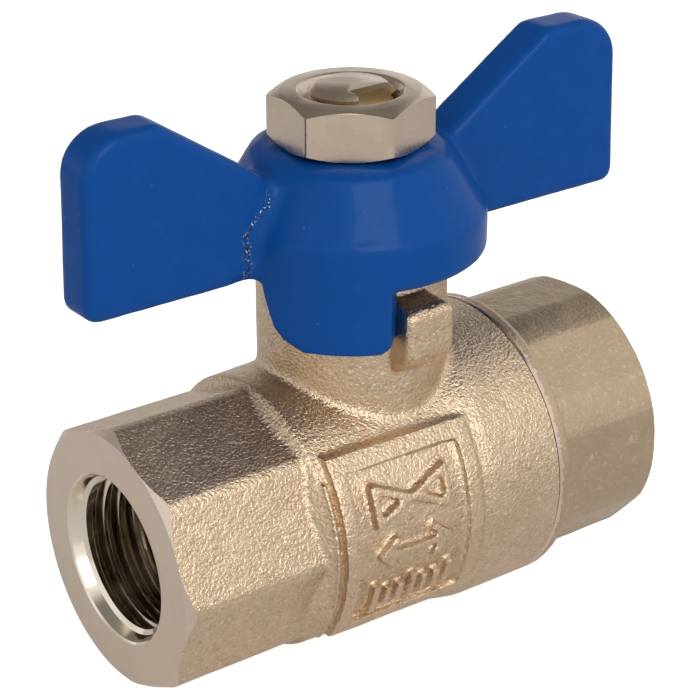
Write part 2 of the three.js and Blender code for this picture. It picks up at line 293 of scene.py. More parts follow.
def apply(piece: bpy.types.Object, kind: str, **settings: Any) -> None:
    """Adds one modifier with its settings and applies it."""
    activate(piece)
    modifier = piece.modifiers.new(kind.lower(), kind)
    for name, value in settings.items():
        setattr(modifier, name, value)
    bpy.ops.object.modifier_apply(modifier=modifier.name)


def combine(piece: bpy.types.Object, how: Join, *tools: bpy.types.Object) -> bpy.types.Object:
    """Adds, cuts or intersects solids, and takes the tools away.

    Args:
        piece: The solid that is changed.
        how: The operation.
        tools: The other solids, used one after the other.

    Returns:
        The changed piece.
    """
    for tool in tools:
        apply(piece, "BOOLEAN", operation=how.value, solver="MANIFOLD", object=tool)
        bpy.data.objects.remove(tool)
    return piece


def gather(piece: bpy.types.Object, *others: bpy.types.Object) -> bpy.types.Object:
    """Joins objects into one mesh, whose overlaps a remesh then merges."""
    activate(piece)
    for other in others:
        other.select_set(True)
    bpy.ops.object.join()
    return piece


def copy_turned(piece: bpy.types.Object, degrees: float) -> bpy.types.Object:
    """A copy with its own mesh, turned about the stem's axis."""
    activate(piece)
    bpy.ops.object.duplicate(linked=False)
    other = bpy.context.object
    other.data.transform(Matrix.Rotation(math.radians(degrees), 4, "Z"))
    return other


def cast_skin(piece: bpy.types.Object, voxel: float, passes: int) -> bpy.types.Object:
    """Turns overlapping solids into one even skin with rounded edges and corners, as a die leaves them.

    Args:
        piece: The gathered solids.
        voxel: Size of the new mesh's faces.
        passes: Smoothing passes; more make rounder edges.

    Returns:
        The piece.
    """
    apply(piece, "REMESH", mode="VOXEL", voxel_size=voxel * MM, use_smooth_shade=True)
    apply(piece, "SMOOTH", factor=0.5, iterations=passes)
    return piece


def blend_where(piece: bpy.types.Object, weight: Where, passes: int) -> None:
    """Softens part of a skin into a fillet.

    Args:
        piece: The skin.
        weight: Gives 0 to 1 for a point in millimetres.
        passes: Smoothing passes at full weight.
    """
    group = piece.vertex_groups.new(name="blend")
    for vertex in piece.data.vertices:
        share = weight(vertex.co / MM)
        if share > 0:
            group.add([vertex.index], min(share, 1.0), "REPLACE")
    apply(piece, "SMOOTH", factor=0.5, iterations=passes, vertex_group=group.name)
    piece.vertex_groups.clear()


def fade(value: float, full: float, none: float) -> float:
    """1 up to the first value, 0 past the second, and straight in between."""
    return min(1.0, max(0.0, (none - value) / (none - full)))


def undulate(piece: bpy.types.Object, size: float, height: float) -> None:
    """Moves a skin gently in and out, as an uneven forging or a thick coat is."""
    clouds = bpy.data.textures.new(piece.name + "_unevenness", "CLOUDS")
    clouds.noise_scale = size * MM
    apply(piece, "DISPLACE", texture=clouds, strength=height * MM, mid_level=0.5, texture_coords="LOCAL")
    bpy.data.textures.remove(clouds)


def finished(
    piece: bpy.types.Object, node: str, body: Body, crease: float = 24
) -> bpy.types.Object:
    """Args:
        piece: The finished mesh.
        node: The CAD node it stands for.
        body: The body it rides on.
        crease: Faces that meet at more than this many degrees keep a sharp edge.

    Returns:
        The piece.
    """
    activate(piece)
    bpy.ops.object.shade_smooth_by_angle(angle=math.radians(crease))
    piece.name = node + "_skin"
    piece.data.name = piece.name
    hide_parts(node)
    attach(piece, body.value)
    log.info("%s: %d faces on %s", piece.name, len(piece.data.polygons), body.value)
    return piece


def dress(
    piece: bpy.types.Object, *finishes: bpy.types.Material,
    pick: Callable[[Vector, Vector], int] | None = None,
) -> None:
    """Gives a piece its finishes.

    Args:
        piece: The mesh.
        finishes: The finish of most faces first, then any others.
        pick: Takes a face's middle in millimetres and its normal, and gives the number of its finish.
    """
    piece.data.materials.clear()
    for finish in finishes:
        piece.data.materials.append(finish)
    if pick is not None:
        for face in piece.data.polygons:
            face.material_index = pick(face.center / MM, face.normal)


# ---- material making ----


class NodeBench:
    """Adds nodes to one tree and joins them."""

    def __init__(self, tree: bpy.types.NodeTree) -> None:
        """Starts on a tree, which may already hold nodes."""
        self.tree = tree

    def node(self, kind: str, inputs: dict[Any, Any] | None = None, **settings: Any) -> bpy.types.Node:
        """Adds a shader node.

        Args:
            kind: The node's type, without the ShaderNode in front.
            inputs: Sockets or plain values for its inputs.
            settings: The node's own settings.

        Returns:
            The node.
        """
        made = self.tree.nodes.new("ShaderNode" + kind)
        for name, value in settings.items():
            setattr(made, name, value)
        for socket, value in (inputs or {}).items():
            if isinstance(value, bpy.types.NodeSocket):
                self.tree.links.new(value, made.inputs[socket])
            else:
                made.inputs[socket].default_value = value
        return made

    def math(self, operation: str, a: Any, b: Any = 0.0, clamp: bool = False) -> bpy.types.NodeSocket:
        """The result of a Math node."""
        return self.node("Math", {0: a, 1: b}, operation=operation, use_clamp=clamp).outputs[0]

    def mix(self, share: Any, a: Any, b: Any) -> bpy.types.NodeSocket:
        """A colour between two colours."""
        return self.node("Mix", {0: share, 6: a, 7: b}, data_type="RGBA").outputs[2]

    def window(self, value: Any, low: Any, high: Any, to_low: float = 0.0, to_high: float = 1.0) -> Any:
        """A value stretched from one range to another, and held inside it."""
        inputs = {"Value": value, "From Min": low, "From Max": high, "To Min": to_low, "To Max": to_high}
        return self.node("MapRange", inputs, clamp=True, interpolation_type="SMOOTHSTEP").outputs[0]

    def noise(self, place: Any, scale: Any, detail: float = 2.0, roughness: float = 0.5) -> Any:
        """The value of a Noise Texture."""
        inputs = {"Vector": place, "Scale": scale, "Detail": detail, "Roughness": roughness}
        return self.node("TexNoise", inputs, noise_dimensions="3D").outputs[0]

    def millimetres(self) -> bpy.types.NodeSocket:
        """The object's own coordinates, counted in millimetres."""
        place = self.node("TexCoord").outputs["Object"]
        scale = (1 / MM, 1 / MM, 1 / MM)
        return self.node("Mapping", {"Vector": place, "Scale": scale}).outputs[0]

    def group(self, effect: bpy.types.NodeTree, **inputs: Any) -> bpy.types.Node:
        """Places a shared effect, its input names written with underscores for spaces."""
        made = self.tree.nodes.new("ShaderNodeGroup")
        made.node_tree = effect
        for name, value in inputs.items():
            socket = made.inputs[name.replace("_", " ")]
            if isinstance(value, bpy.types.NodeSocket):
                self.tree.links.new(value, socket)
            else:
                socket.default_value = value
        return made


def new_effect(name: str, inputs: dict[str, float], outputs: Sequence[str]) -> tuple[NodeBench, Any, Any]:
    """Starts a shared node group with named value sockets.

    Args:
        name: The group's name.
        inputs: Input names and their default values.
        outputs: Output names.

    Returns:
        A bench on the group's tree, its input node and its output node.
    """
    tree = bpy.data.node_groups.new(name, "ShaderNodeTree")
    for label, value in inputs.items():
        socket = tree.interface.new_socket(label, in_out="INPUT", socket_type="NodeSocketFloat")
        socket.default_value = value
    for label in outputs:
        tree.interface.new_socket(label, in_out="OUTPUT", socket_type="NodeSocketFloat")
    return NodeBench(tree), tree.nodes.new("NodeGroupInput"), tree.nodes.new("NodeGroupOutput")


class Effects:
    """The node groups that several finishes share."""

    def __init__(self) -> None:
        """Builds each group once."""
        self.grain = self._grain()
        self.wear_and_sheen = self._wear_and_sheen()
        self.turning = self._turning()
        self.specks = self._specks()
        self.scratches = self._scratches()

    @staticmethod
    def _grain() -> bpy.types.NodeTree:
        """Shot-blast grain: its height, a slow change of tone, and a mask of the crests where a glint is
        painted.
        """
        bench, given, result = new_effect("blasted_grain", {"Size": 0.2}, ["Height", "Tone", "Glint"])
        place = bench.millimetres()
        fine_scale = bench.math("DIVIDE", 1.0, given.outputs["Size"])
        coarse_scale = bench.math("MULTIPLY", fine_scale, 0.3)
        fine = bench.noise(place, fine_scale, 2.0, 0.6)
        coarse = bench.noise(place, coarse_scale, 2.0, 0.55)
        weighted = bench.math("MULTIPLY", coarse, 0.45)
        height = bench.math("ADD", fine, weighted)
        tone = bench.noise(place, 0.42, 3.0, 0.6)
        glint = bench.window(bench.noise(place, bench.math("MULTIPLY", fine_scale, 0.8), 1.0), 0.60, 0.70)
        for label, socket in (("Height", height), ("Tone", tone), ("Glint", glint)):
            bench.tree.links.new(socket, result.inputs[label])
        return bench.tree

    @staticmethod
    def _wear_and_sheen() -> bpy.types.NodeTree:
        """Ridges and hollows, both broken up by noise. The ridges give worn edges, and on the forging also a
        painted edge highlight.
        """
        inputs = {"Ridge Start": 0.52, "Hollow Start": 0.48, "Spread": 0.05}
        bench, given, result = new_effect("edge_wear_and_sheen", inputs, ["Ridge", "Hollow"])
        bend = bench.node("NewGeometry").outputs["Pointiness"]
        patchy = bench.window(bench.noise(bench.millimetres(), 1.6, 3.0, 0.6), 0.35, 0.65)
        ridge_end = bench.math("ADD", given.outputs["Ridge Start"], given.outputs["Spread"])
        ridge = bench.window(bend, given.outputs["Ridge Start"], ridge_end)
        hollow_end = bench.math("SUBTRACT", given.outputs["Hollow Start"], given.outputs["Spread"])
        hollow = bench.window(bend, hollow_end, given.outputs["Hollow Start"], 1.0, 0.0)
        for label, socket in (("Ridge", ridge), ("Hollow", hollow)):
            broken = bench.math("MULTIPLY", socket, patchy)
            bench.tree.links.new(broken, result.inputs[label])
        return bench.tree

    @staticmethod
    def _turning() -> bpy.types.NodeTree:
        """Lathe marks: rings about the flow axis, or about the stem axis where About Stem is 1."""
        inputs = {"Pitch": 0.12, "About Stem": 0.0}
        bench, given, result = new_effect("turning_marks", inputs, ["Height", "Band"])
        place = bench.millimetres()
        split = bench.node("SeparateXYZ", {0: place})
        flow = bench.node("CombineXYZ", {1: split.outputs[1], 2: split.outputs[2]}).outputs[0]
        stem = bench.node("CombineXYZ", {0: split.outputs[0], 1: split.outputs[1]}).outputs[0]
        radii = [
            bench.node("VectorMath", {0: way}, operation="LENGTH").outputs["Value"] for way in (flow, stem)
        ]
        about_stem = given.outputs["About Stem"]
        about_flow = bench.math("SUBTRACT", 1.0, about_stem)
        radius = bench.math(
            "ADD", bench.math("MULTIPLY", radii[0], about_flow), bench.math("MULTIPLY", radii[1], about_stem)
        )
        along = bench.math(
            "ADD",
            bench.math("MULTIPLY", split.outputs[0], about_flow),
            bench.math("MULTIPLY", split.outputs[2], about_stem),
        )
        ring_place = bench.node("CombineXYZ", {0: radius, 1: along}).outputs[0]
        scale = bench.math("DIVIDE", 1.0, given.outputs["Pitch"])
        marks = bench.noise(ring_place, scale, 3.0, 0.65)
        band = bench.noise(ring_place, 1.1, 2.0)
        bench.tree.links.new(marks, result.inputs["Height"])
        bench.tree.links.new(band, result.inputs["Band"])
        return bench.tree

    @staticmethod
    def _specks() -> bpy.types.NodeTree:
        """Tiny grains of dust, one in some of the cells of a fine pattern."""
        bench, given, result = new_effect("dust_specks", {"Spacing": 0.5, "Amount": 0.2}, ["Mask"])
        scale = bench.math("DIVIDE", 1.0, given.outputs["Spacing"])
        cells = bench.node("TexVoronoi", {"Vector": bench.millimetres(), "Scale": scale})
        near = bench.window(cells.outputs["Distance"], 0.07, 0.13, 1.0, 0.0)
        chance = bench.node("SeparateColor", {0: cells.outputs["Color"]}).outputs[0]
        chosen = bench.math("LESS_THAN", chance, given.outputs["Amount"])
        bench.tree.links.new(bench.math("MULTIPLY", near, chosen), result.inputs["Mask"])
        return bench.tree

    @staticmethod
    def _scratches() -> bpy.types.NodeTree:
        """Short hairline scratches that lie two ways."""
        bench, given, result = new_effect("hairlines", {"Density": 1.0}, ["Mask"])
        masks = []
        for turn in (0.5, -0.9):
            mapping = {
                "Vector": bench.millimetres(), "Rotation": (turn, turn * 0.6, turn), "Scale": (9, 0.5, 9),
            }
            place = bench.node("Mapping", mapping).outputs[0]
            masks.append(bench.window(bench.noise(place, given.outputs["Density"], 1.0), 0.70, 0.76))
        either = bench.math("MAXIMUM", masks[0], masks[1])
        bench.tree.links.new(either, result.inputs["Mask"])
        return bench.tree


def new_finish(name: str) -> tuple[bpy.types.Material, NodeBench, bpy.types.Node]:
    """A fresh node material: the material, a bench on its tree, and its Principled BSDF."""
    material = bpy.data.materials.new(name)
    material.use_nodes = True
    bench = NodeBench(material.node_tree)
    return material, bench, material.node_tree.nodes["Principled BSDF"]


def raise_surface(
    bench: NodeBench, shader: bpy.types.Node, height: Any, strength: float, reach: float
) -> None:
    """Feeds a height to the shader's normal.

    Args:
        bench: The material's bench.
        shader: Its Principled BSDF.
        height: The height socket.
        strength: Share of the bump that shows.
        reach: Height of a full step, in millimetres.
    """
    inputs = {"Height": height, "Strength": strength, "Distance": reach * MM}
    bench.tree.links.new(bench.node("Bump", inputs).outputs[0], shader.inputs["Normal"])


@dataclass(frozen=True)
class PlatedForging:
    """Nickel plate over a shot-blasted brass forging, with painted glints on its grain and a painted
    highlight on its ridges.
    """

    name: str = "nickel_plated_forging"
    light: Colour = (0.67, 0.51, 0.355, 1)
    dark: Colour = (0.63, 0.475, 0.325, 1)
    pit: Colour = (0.36, 0.27, 0.17, 1)
    brass: Colour = (0.66, 0.44, 0.14, 1)
    # The glint colour is a painted highlight: it lights the grain's crests and the ridges.
    glint: Colour = (0.95, 0.86, 0.72, 1)
    grain_size: float = 0.25
    grain_depth: float = 0.15
    pit_share: float = 0.5
    glint_share: float = 0.35
    smoothest: float = 0.28
    roughest: float = 0.36

    def build(self, effects: Effects) -> bpy.types.Material:
        """Makes the node material."""
        material, bench, shader = new_finish(self.name)
        grain = bench.group(effects.grain, Size=self.grain_size)
        wear_and_sheen = bench.group(effects.wear_and_sheen, Ridge_Start=0.535, Hollow_Start=0.465, Spread=0.06)
        specks = bench.group(effects.specks, Spacing=0.55, Amount=0.10)
        tone = bench.mix(bench.window(grain.outputs["Tone"], 0.35, 0.65), self.dark, self.light)
        in_pit = bench.window(grain.outputs["Height"], 0.52, 0.70, self.pit_share, 0.0)
        pitted = bench.mix(in_pit, tone, self.pit)
        # Painted glints: the grain's crests are lightened toward the glint colour.
        on_glint = bench.math("MULTIPLY", grain.outputs["Glint"], self.glint_share)
        lit = bench.mix(on_glint, pitted, self.glint)
        # Hollows tinted a little toward the brass colour, darker and warmer.
        hollow = bench.mix(bench.math("MULTIPLY", wear_and_sheen.outputs["Hollow"], 0.16), lit, self.brass)
        # Ridges lightened toward the glint colour: rubbed edges, and a painted edge highlight.
        ridge = bench.mix(bench.math("MULTIPLY", wear_and_sheen.outputs["Ridge"], 0.35), hollow, self.glint)
        dotted = bench.mix(bench.math("MULTIPLY", specks.outputs["Mask"], 0.6), ridge, self.pit)
        bench.tree.links.new(dotted, shader.inputs["Base Color"])
        roughness = bench.window(grain.outputs["Tone"], 0.3, 0.7, self.smoothest, self.roughest)
        bench.tree.links.new(roughness, shader.inputs["Roughness"])
        shader.inputs["Metallic"].default_value = 1.0
        raise_surface(bench, shader, grain.outputs["Height"], 0.85, self.grain_depth)
        return material


@dataclass(frozen=True)
class TurnedMetal:
    """A bright surface that came off the lathe, plated or bare."""

    name: str
    light: Colour
    dark: Colour
    edge: Colour
    about: Axis
    roughness: float = 0.2
    mark_pitch: float = 0.12
    mark_depth: float = 0.006

    def build(self, effects: Effects) -> bpy.types.Material:
        """Makes the node material."""
        material, bench, shader = new_finish(self.name)
        about_stem = float(self.about is Axis.STEM)
        turning = bench.group(effects.turning, Pitch=self.mark_pitch, About_Stem=about_stem)
        wear_and_sheen = bench.group(effects.wear_and_sheen, Ridge_Start=0.58, Hollow_Start=0.42, Spread=0.08)
        lines = bench.group(effects.scratches, Density=1.0)
        mottle = bench.group(effects.grain, Size=0.3)
        tone = bench.mix(bench.window(mottle.outputs["Tone"], 0.35, 0.65), self.dark, self.light)
        banded = bench.mix(bench.window(turning.outputs["Band"], 0.35, 0.7, 0.0, 0.3), tone, self.light)
        edged = bench.mix(bench.math("MULTIPLY", wear_and_sheen.outputs["Ridge"], 0.3), banded, self.edge)
        scored = bench.mix(bench.math("MULTIPLY", lines.outputs["Mask"], 0.25), edged, self.dark)
        bench.tree.links.new(scored, shader.inputs["Base Color"])
        shader.inputs["Metallic"].default_value = 1.0
        high = self.roughness + 0.1
        roughness = bench.window(mottle.outputs["Tone"], 0.3, 0.7, self.roughness, high)
        bench.tree.links.new(roughness, shader.inputs["Roughness"])
        scratched = bench.math("MULTIPLY", lines.outputs["Mask"], -0.6)
        height = bench.math("ADD", turning.outputs["Height"], scratched)
        raise_surface(bench, shader, height, 0.6, self.mark_depth)
        return material


@dataclass(frozen=True)
class BlueEnamel:
    """Thick glossy enamel on a die-cast handle, with bare gritty metal where the coat broke away, flecked
    with painted sparks of highlight.
    """

    colour: Colour = (0.0040, 0.063, 0.275, 1)
    deep: Colour = (0.0037, 0.060, 0.262, 1)
    dust: Colour = (0.12, 0.22, 0.42, 1)
    bare: Colour = (0.025, 0.028, 0.035, 1)
    # spark: a painted highlight colour for the sparks on the bare metal
    spark: Colour = (0.75, 0.78, 0.82, 1)
    grit_low_x: float = -11.0
    grit_high_x: float = -8.9
    grit_reach: float = 0.36
    grit_bottom: float = 20.6

    def _grit(self, bench: NodeBench) -> bpy.types.NodeSocket:
        """Mask of the bare line where the left wing leaves the hub."""
        split = bench.node("SeparateXYZ", {0: bench.millimetres()})
        wander = bench.noise(bench.millimetres(), 0.9, 2.0)
        shifted = bench.math("ADD", split.outputs[0], bench.window(wander, 0.3, 0.7, -0.2, 0.2))
        line_x = bench.window(split.outputs[2], 23.7, 27.0, self.grit_low_x, self.grit_high_x)
        off = bench.math("ABSOLUTE", bench.math("SUBTRACT", shifted, line_x))
        line = bench.window(off, 0.0, self.grit_reach, 1.0, 0.0)
        front = bench.math("LESS_THAN", split.outputs[1], -1.7)
        below = bench.window(split.outputs[2], 26.6, 27.4, 1.0, 0.0)
        above = bench.math("GREATER_THAN", split.outputs[2], self.grit_bottom)
        crumbs = bench.window(bench.noise(bench.millimetres(), 5.5, 2.0, 0.7), 0.47, 0.55)
        on_line = bench.math("MULTIPLY", line, front)
        in_height = bench.math("MULTIPLY", below, above)
        there = bench.math("MULTIPLY", on_line, in_height)
        return bench.math("MULTIPLY", there, crumbs)

    def build(self, effects: Effects) -> bpy.types.Material:
        """Makes the node material."""
        material, bench, shader = new_finish("blue_enamel")
        grain = bench.group(effects.grain, Size=0.7)
        specks = bench.group(effects.specks, Spacing=0.9, Amount=0.05)
        wear_and_sheen = bench.group(effects.wear_and_sheen, Ridge_Start=0.56, Hollow_Start=0.44, Spread=0.08)
        tone = bench.mix(bench.window(grain.outputs["Tone"], 0.3, 0.7), self.deep, self.colour)
        pooled = bench.mix(bench.math("MULTIPLY", wear_and_sheen.outputs["Hollow"], 0.4), tone, self.deep)
        dusty = bench.mix(bench.math("MULTIPLY", specks.outputs["Mask"], 0.3), pooled, self.dust)
        grit = self._grit(bench)
        # Painted sparks of highlight, scattered over the bare metal of the grit line.
        sparkle = bench.window(bench.noise(bench.millimetres(), 6.5, 1.0), 0.56, 0.62)
        coated = bench.mix(grit, dusty, bench.mix(sparkle, self.bare, self.spark))
        bench.tree.links.new(coated, shader.inputs["Base Color"])
        bench.tree.links.new(bench.math("MULTIPLY", grit, 0.9), shader.inputs["Metallic"])
        roughness = bench.window(grain.outputs["Tone"], 0.3, 0.7, 0.24, 0.28)
        gritty = bench.math("ADD", roughness, bench.math("MULTIPLY", grit, 0.2))
        bench.tree.links.new(gritty, shader.inputs["Roughness"])
        shader.inputs["Specular IOR Level"].default_value = 0.04
        shader.inputs["Coat Roughness"].default_value = 0.10
        coat = bench.window(grain.outputs["Tone"], 0.3, 0.7, 0.09, 0.11)
        bench.tree.links.new(coat, shader.inputs["Coat Weight"])
        height = bench.math(
            "ADD", grain.outputs["Height"],
            bench.math(
                "ADD", bench.math("MULTIPLY", specks.outputs["Mask"], 0.8), bench.math("MULTIPLY", grit, 4.0)
            ),
        )
        raise_surface(bench, shader, height, 0.30, 0.02)
        return material


@dataclass(frozen=True)
class MouldedSeal:
    """A soft seal: waxy white PTFE or matt black nitrile."""

    name: str
    light: Colour
    dark: Colour
    roughness: float
    about: Axis

    def build(self, effects: Effects) -> bpy.types.Material:
        """Makes the node material."""
        material, bench, shader = new_finish(self.name)
        turning = bench.group(effects.turning, Pitch=0.2, About_Stem=float(self.about is Axis.STEM))
        grain = bench.group(effects.grain, Size=0.15)
        tone = bench.mix(bench.window(grain.outputs["Tone"], 0.3, 0.7), self.dark, self.light)
        bench.tree.links.new(tone, shader.inputs["Base Color"])
        high = self.roughness + 0.12
        roughness = bench.window(grain.outputs["Tone"], 0.3, 0.7, self.roughness, high)
        bench.tree.links.new(roughness, shader.inputs["Roughness"])
        fine = bench.math("MULTIPLY", grain.outputs["Height"], 0.4)
        height = bench.math("ADD", turning.outputs["Height"], fine)
        raise_surface(bench, shader, height, 0.5, 0.01)
        return material


@dataclass(frozen=True)
class SawnStemTop:
    """The stem's sheared tip: rough streaks across it, and bare brass on its ridges."""

    light: Colour = (0.60, 0.51, 0.40, 1)
    dark: Colour = (0.48, 0.39, 0.28, 1)
    brass: Colour = (0.66, 0.48, 0.20, 1)

    def build(self, effects: Effects) -> bpy.types.Material:
        """Makes the node material."""
        material, bench, shader = new_finish("plated_stem_tip")
        mapping = {"Vector": bench.millimetres(), "Rotation": (0, 0, 0.5), "Scale": (0.5, 2.4, 1.5)}
        streaks = bench.noise(bench.node("Mapping", mapping).outputs[0], 1.0, 2.0, 0.6)
        grain = bench.group(effects.grain, Size=0.16)
        wear_and_sheen = bench.group(effects.wear_and_sheen, Ridge_Start=0.53, Hollow_Start=0.47, Spread=0.05)
        tone = bench.mix(bench.window(streaks, 0.36, 0.6), self.dark, self.light)
        edged = bench.mix(bench.math("MULTIPLY", wear_and_sheen.outputs["Ridge"], 0.6), tone, self.brass)
        bench.tree.links.new(edged, shader.inputs["Base Color"])
        shader.inputs["Metallic"].default_value = 1.0
        bench.tree.links.new(bench.window(streaks, 0.3, 0.7, 0.42, 0.28), shader.inputs["Roughness"])
        height = bench.math("ADD", streaks, bench.math("MULTIPLY", grain.outputs["Height"], 0.15))
        raise_surface(bench, shader, height, 0.6, 0.04)
        return material


def tones(light: Sequence[float], dark: Sequence[float], edge: Sequence[float]) -> dict[str, Any]:
    """Names the three tones of a turned metal, each made opaque."""
    return {"light": (*light, 1), "dark": (*dark, 1), "edge": (*edge, 1)}


class Finishes:
    """Every finish of the valve, each built once."""

    def __init__(self) -> None:
        """Builds the shared effects and then the materials."""
        effects = Effects()
        nickel = tones((0.73, 0.60, 0.50), (0.70, 0.575, 0.475), (0.80, 0.64, 0.40))
        warm_nickel = tones((0.65, 0.53, 0.42), (0.61, 0.49, 0.385), (0.80, 0.64, 0.40))
        # A lighter copy of the machined nickel: painted light for the thread inside the dark mouth.
        painted_lit_nickel = tones((0.86, 0.77, 0.65), (0.82, 0.72, 0.59), (0.9, 0.8, 0.6))
        brass = tones((0.80, 0.60, 0.26), (0.58, 0.40, 0.14), (0.9, 0.74, 0.42))
        chrome = tones((0.86, 0.87, 0.88), (0.74, 0.75, 0.77), (0.9, 0.9, 0.9))
        white = {"light": (0.86, 0.86, 0.83, 1), "dark": (0.78, 0.78, 0.74, 1), "roughness": 0.42}
        black = {"light": (0.030, 0.030, 0.030, 1), "dark": (0.016, 0.016, 0.016, 1), "roughness": 0.55}
        self.forging = PlatedForging().build(effects)
        # The cap: a smoother grain, and the forging's colours darkened by about a fifth, which is painted
        # shade.
        self.smooth_shaded_forging = PlatedForging(
            name="nickel_plated_cap", light=(0.53, 0.405, 0.275, 1), dark=(0.50, 0.38, 0.255, 1),
            grain_size=0.3, grain_depth=0.05, pit_share=0.12, glint_share=0.15,
            smoothest=0.34, roughest=0.42,
        ).build(effects)
        self.machined = TurnedMetal(
            "nickel_plated_turning", about=Axis.FLOW, roughness=0.17, **nickel
        ).build(effects)
        self.stem = TurnedMetal(
            "nickel_plated_stem", about=Axis.STEM, roughness=0.2, **warm_nickel
        ).build(effects)
        self.nut = TurnedMetal(
            "nickel_plated_nut", about=Axis.STEM, roughness=0.22, mark_pitch=0.35, mark_depth=0.01,
            **warm_nickel
        ).build(effects)
        # The tapped thread gets the lighter nickel, painted light in the mouth's recess.
        self.tapped = TurnedMetal(
            "nickel_plated_thread", about=Axis.FLOW, roughness=0.07, mark_depth=0.003, **painted_lit_nickel
        ).build(effects)
        self.ball = TurnedMetal(
            "chromed_ball", about=Axis.FLOW, roughness=0.05, mark_depth=0.001, **chrome
        ).build(effects)
        self.brass = TurnedMetal("raw_brass", about=Axis.STEM, roughness=0.24, **brass).build(effects)
        self.stem_tip = SawnStemTop().build(effects)
        self.enamel = BlueEnamel().build(effects)
        self.ptfe_flow = MouldedSeal("ptfe_seat", about=Axis.FLOW, **white).build(effects)
        self.ptfe_stem = MouldedSeal("ptfe_packing", about=Axis.STEM, **white).build(effects)
        self.nitrile = MouldedSeal("nitrile", about=Axis.STEM, **black).build(effects)


# ---- the valve's sub-assemblies ----


@cache
def frame_low(node: str) -> Vector:
    """Lowest corner of a CAD node, in millimetres."""
    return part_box(node)[0] / MM


@cache
def frame_high(node: str) -> Vector:
    """Highest corner of a CAD node, in millimetres."""
    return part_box(node)[1] / MM


@dataclass(frozen=True)
class PipeThread:
    """The female pipe thread and its mouth, the same at both ends."""

    crest_r: float = 5.95
    root_r: float = 6.6
    tapped_r: float = 6.75
    mouth_r: float = 6.62
    lead_r: float = 6.3
    lead: float = 0.95
    cone: float = 0.25
    pitch: float = 1.337
    depth: float = 11.0
    flow_r: float = 4.5

    def cut(self, piece: bpy.types.Object, face: float, away: int, bore_end: float) -> None:
        """Cuts the lead, the thread and the bore.

        Args:
            piece: The body or the cap.
            face: Where the end face lies along X.
            away: 1 where the mouth opens towards +X, else -1.
            bore_end: How far in the plain bore goes.
        """
        outline = [
            (0, face + away),
            (self.mouth_r + 0.16, face + away),
            (self.mouth_r + 0.16, face),
            (self.mouth_r, face - away * 0.14),
            (self.lead_r, face - away * self.lead),
            (self.crest_r, face - away * (self.lead + self.cone)),
            (self.crest_r, face - away * self.depth),
            (self.flow_r, face - away * (self.depth + 0.8)),
            (self.flow_r, bore_end),
            (0, bore_end),
        ]
        mouth = turned("mouth", outline, Axis.FLOW, FINE_STEPS)
        inner = face - away * (self.depth - 0.6)
        start, end = sorted((inner, face - away * 0.55))
        tap = screw_solid("tap", Axis.FLOW, start, end, self.root_r, self.crest_r - 0.03, self.pitch)
        combine(piece, Join.CUT, mouth, tap)


@dataclass(frozen=True)
class Octagon:
    """The wrench octagon of one end, its corners turned down."""

    flat_r: float
    corner_r: float
    turn: float = 0.0  # degrees from +Z towards -Y

    def bar(self, start: float, end: float) -> bpy.types.Object:
        """The bar between two places along X, one corner at the octagon's turn."""
        corner = self.flat_r / math.cos(math.pi / 8)
        turns = [FULL_TURN * i / 8 - math.radians(self.turn) for i in range(8)]
        outline = [(corner * math.sin(t), corner * math.cos(t)) for t in turns]
        bar = pushed("octagon", outline, Plane.SIDE, start, end)
        ends = [(0, start - 1), (self.corner_r, start - 1), (self.corner_r, end + 1), (0, end + 1)]
        return combine(bar, Join.KEEP_COMMON, turned("round", ends, Axis.FLOW))

    def facing_tool(self, face: float, away: int) -> bpy.types.Object:
        """What a lathe takes off the end: everything outside the face and its chamfer."""
        flat = self.flat_r + 0.02
        reach = 1.6
        slope = 0.85
        outline = [
            (0, face),
            (flat, face),
            (flat + reach, face - away * reach * slope),
            (flat + reach + 3, face - away * reach * slope),
            (flat + reach + 3, face + away * 3),
            (0, face + away * 3),
        ]
        return turned("facing", outline, Axis.FLOW, 192)


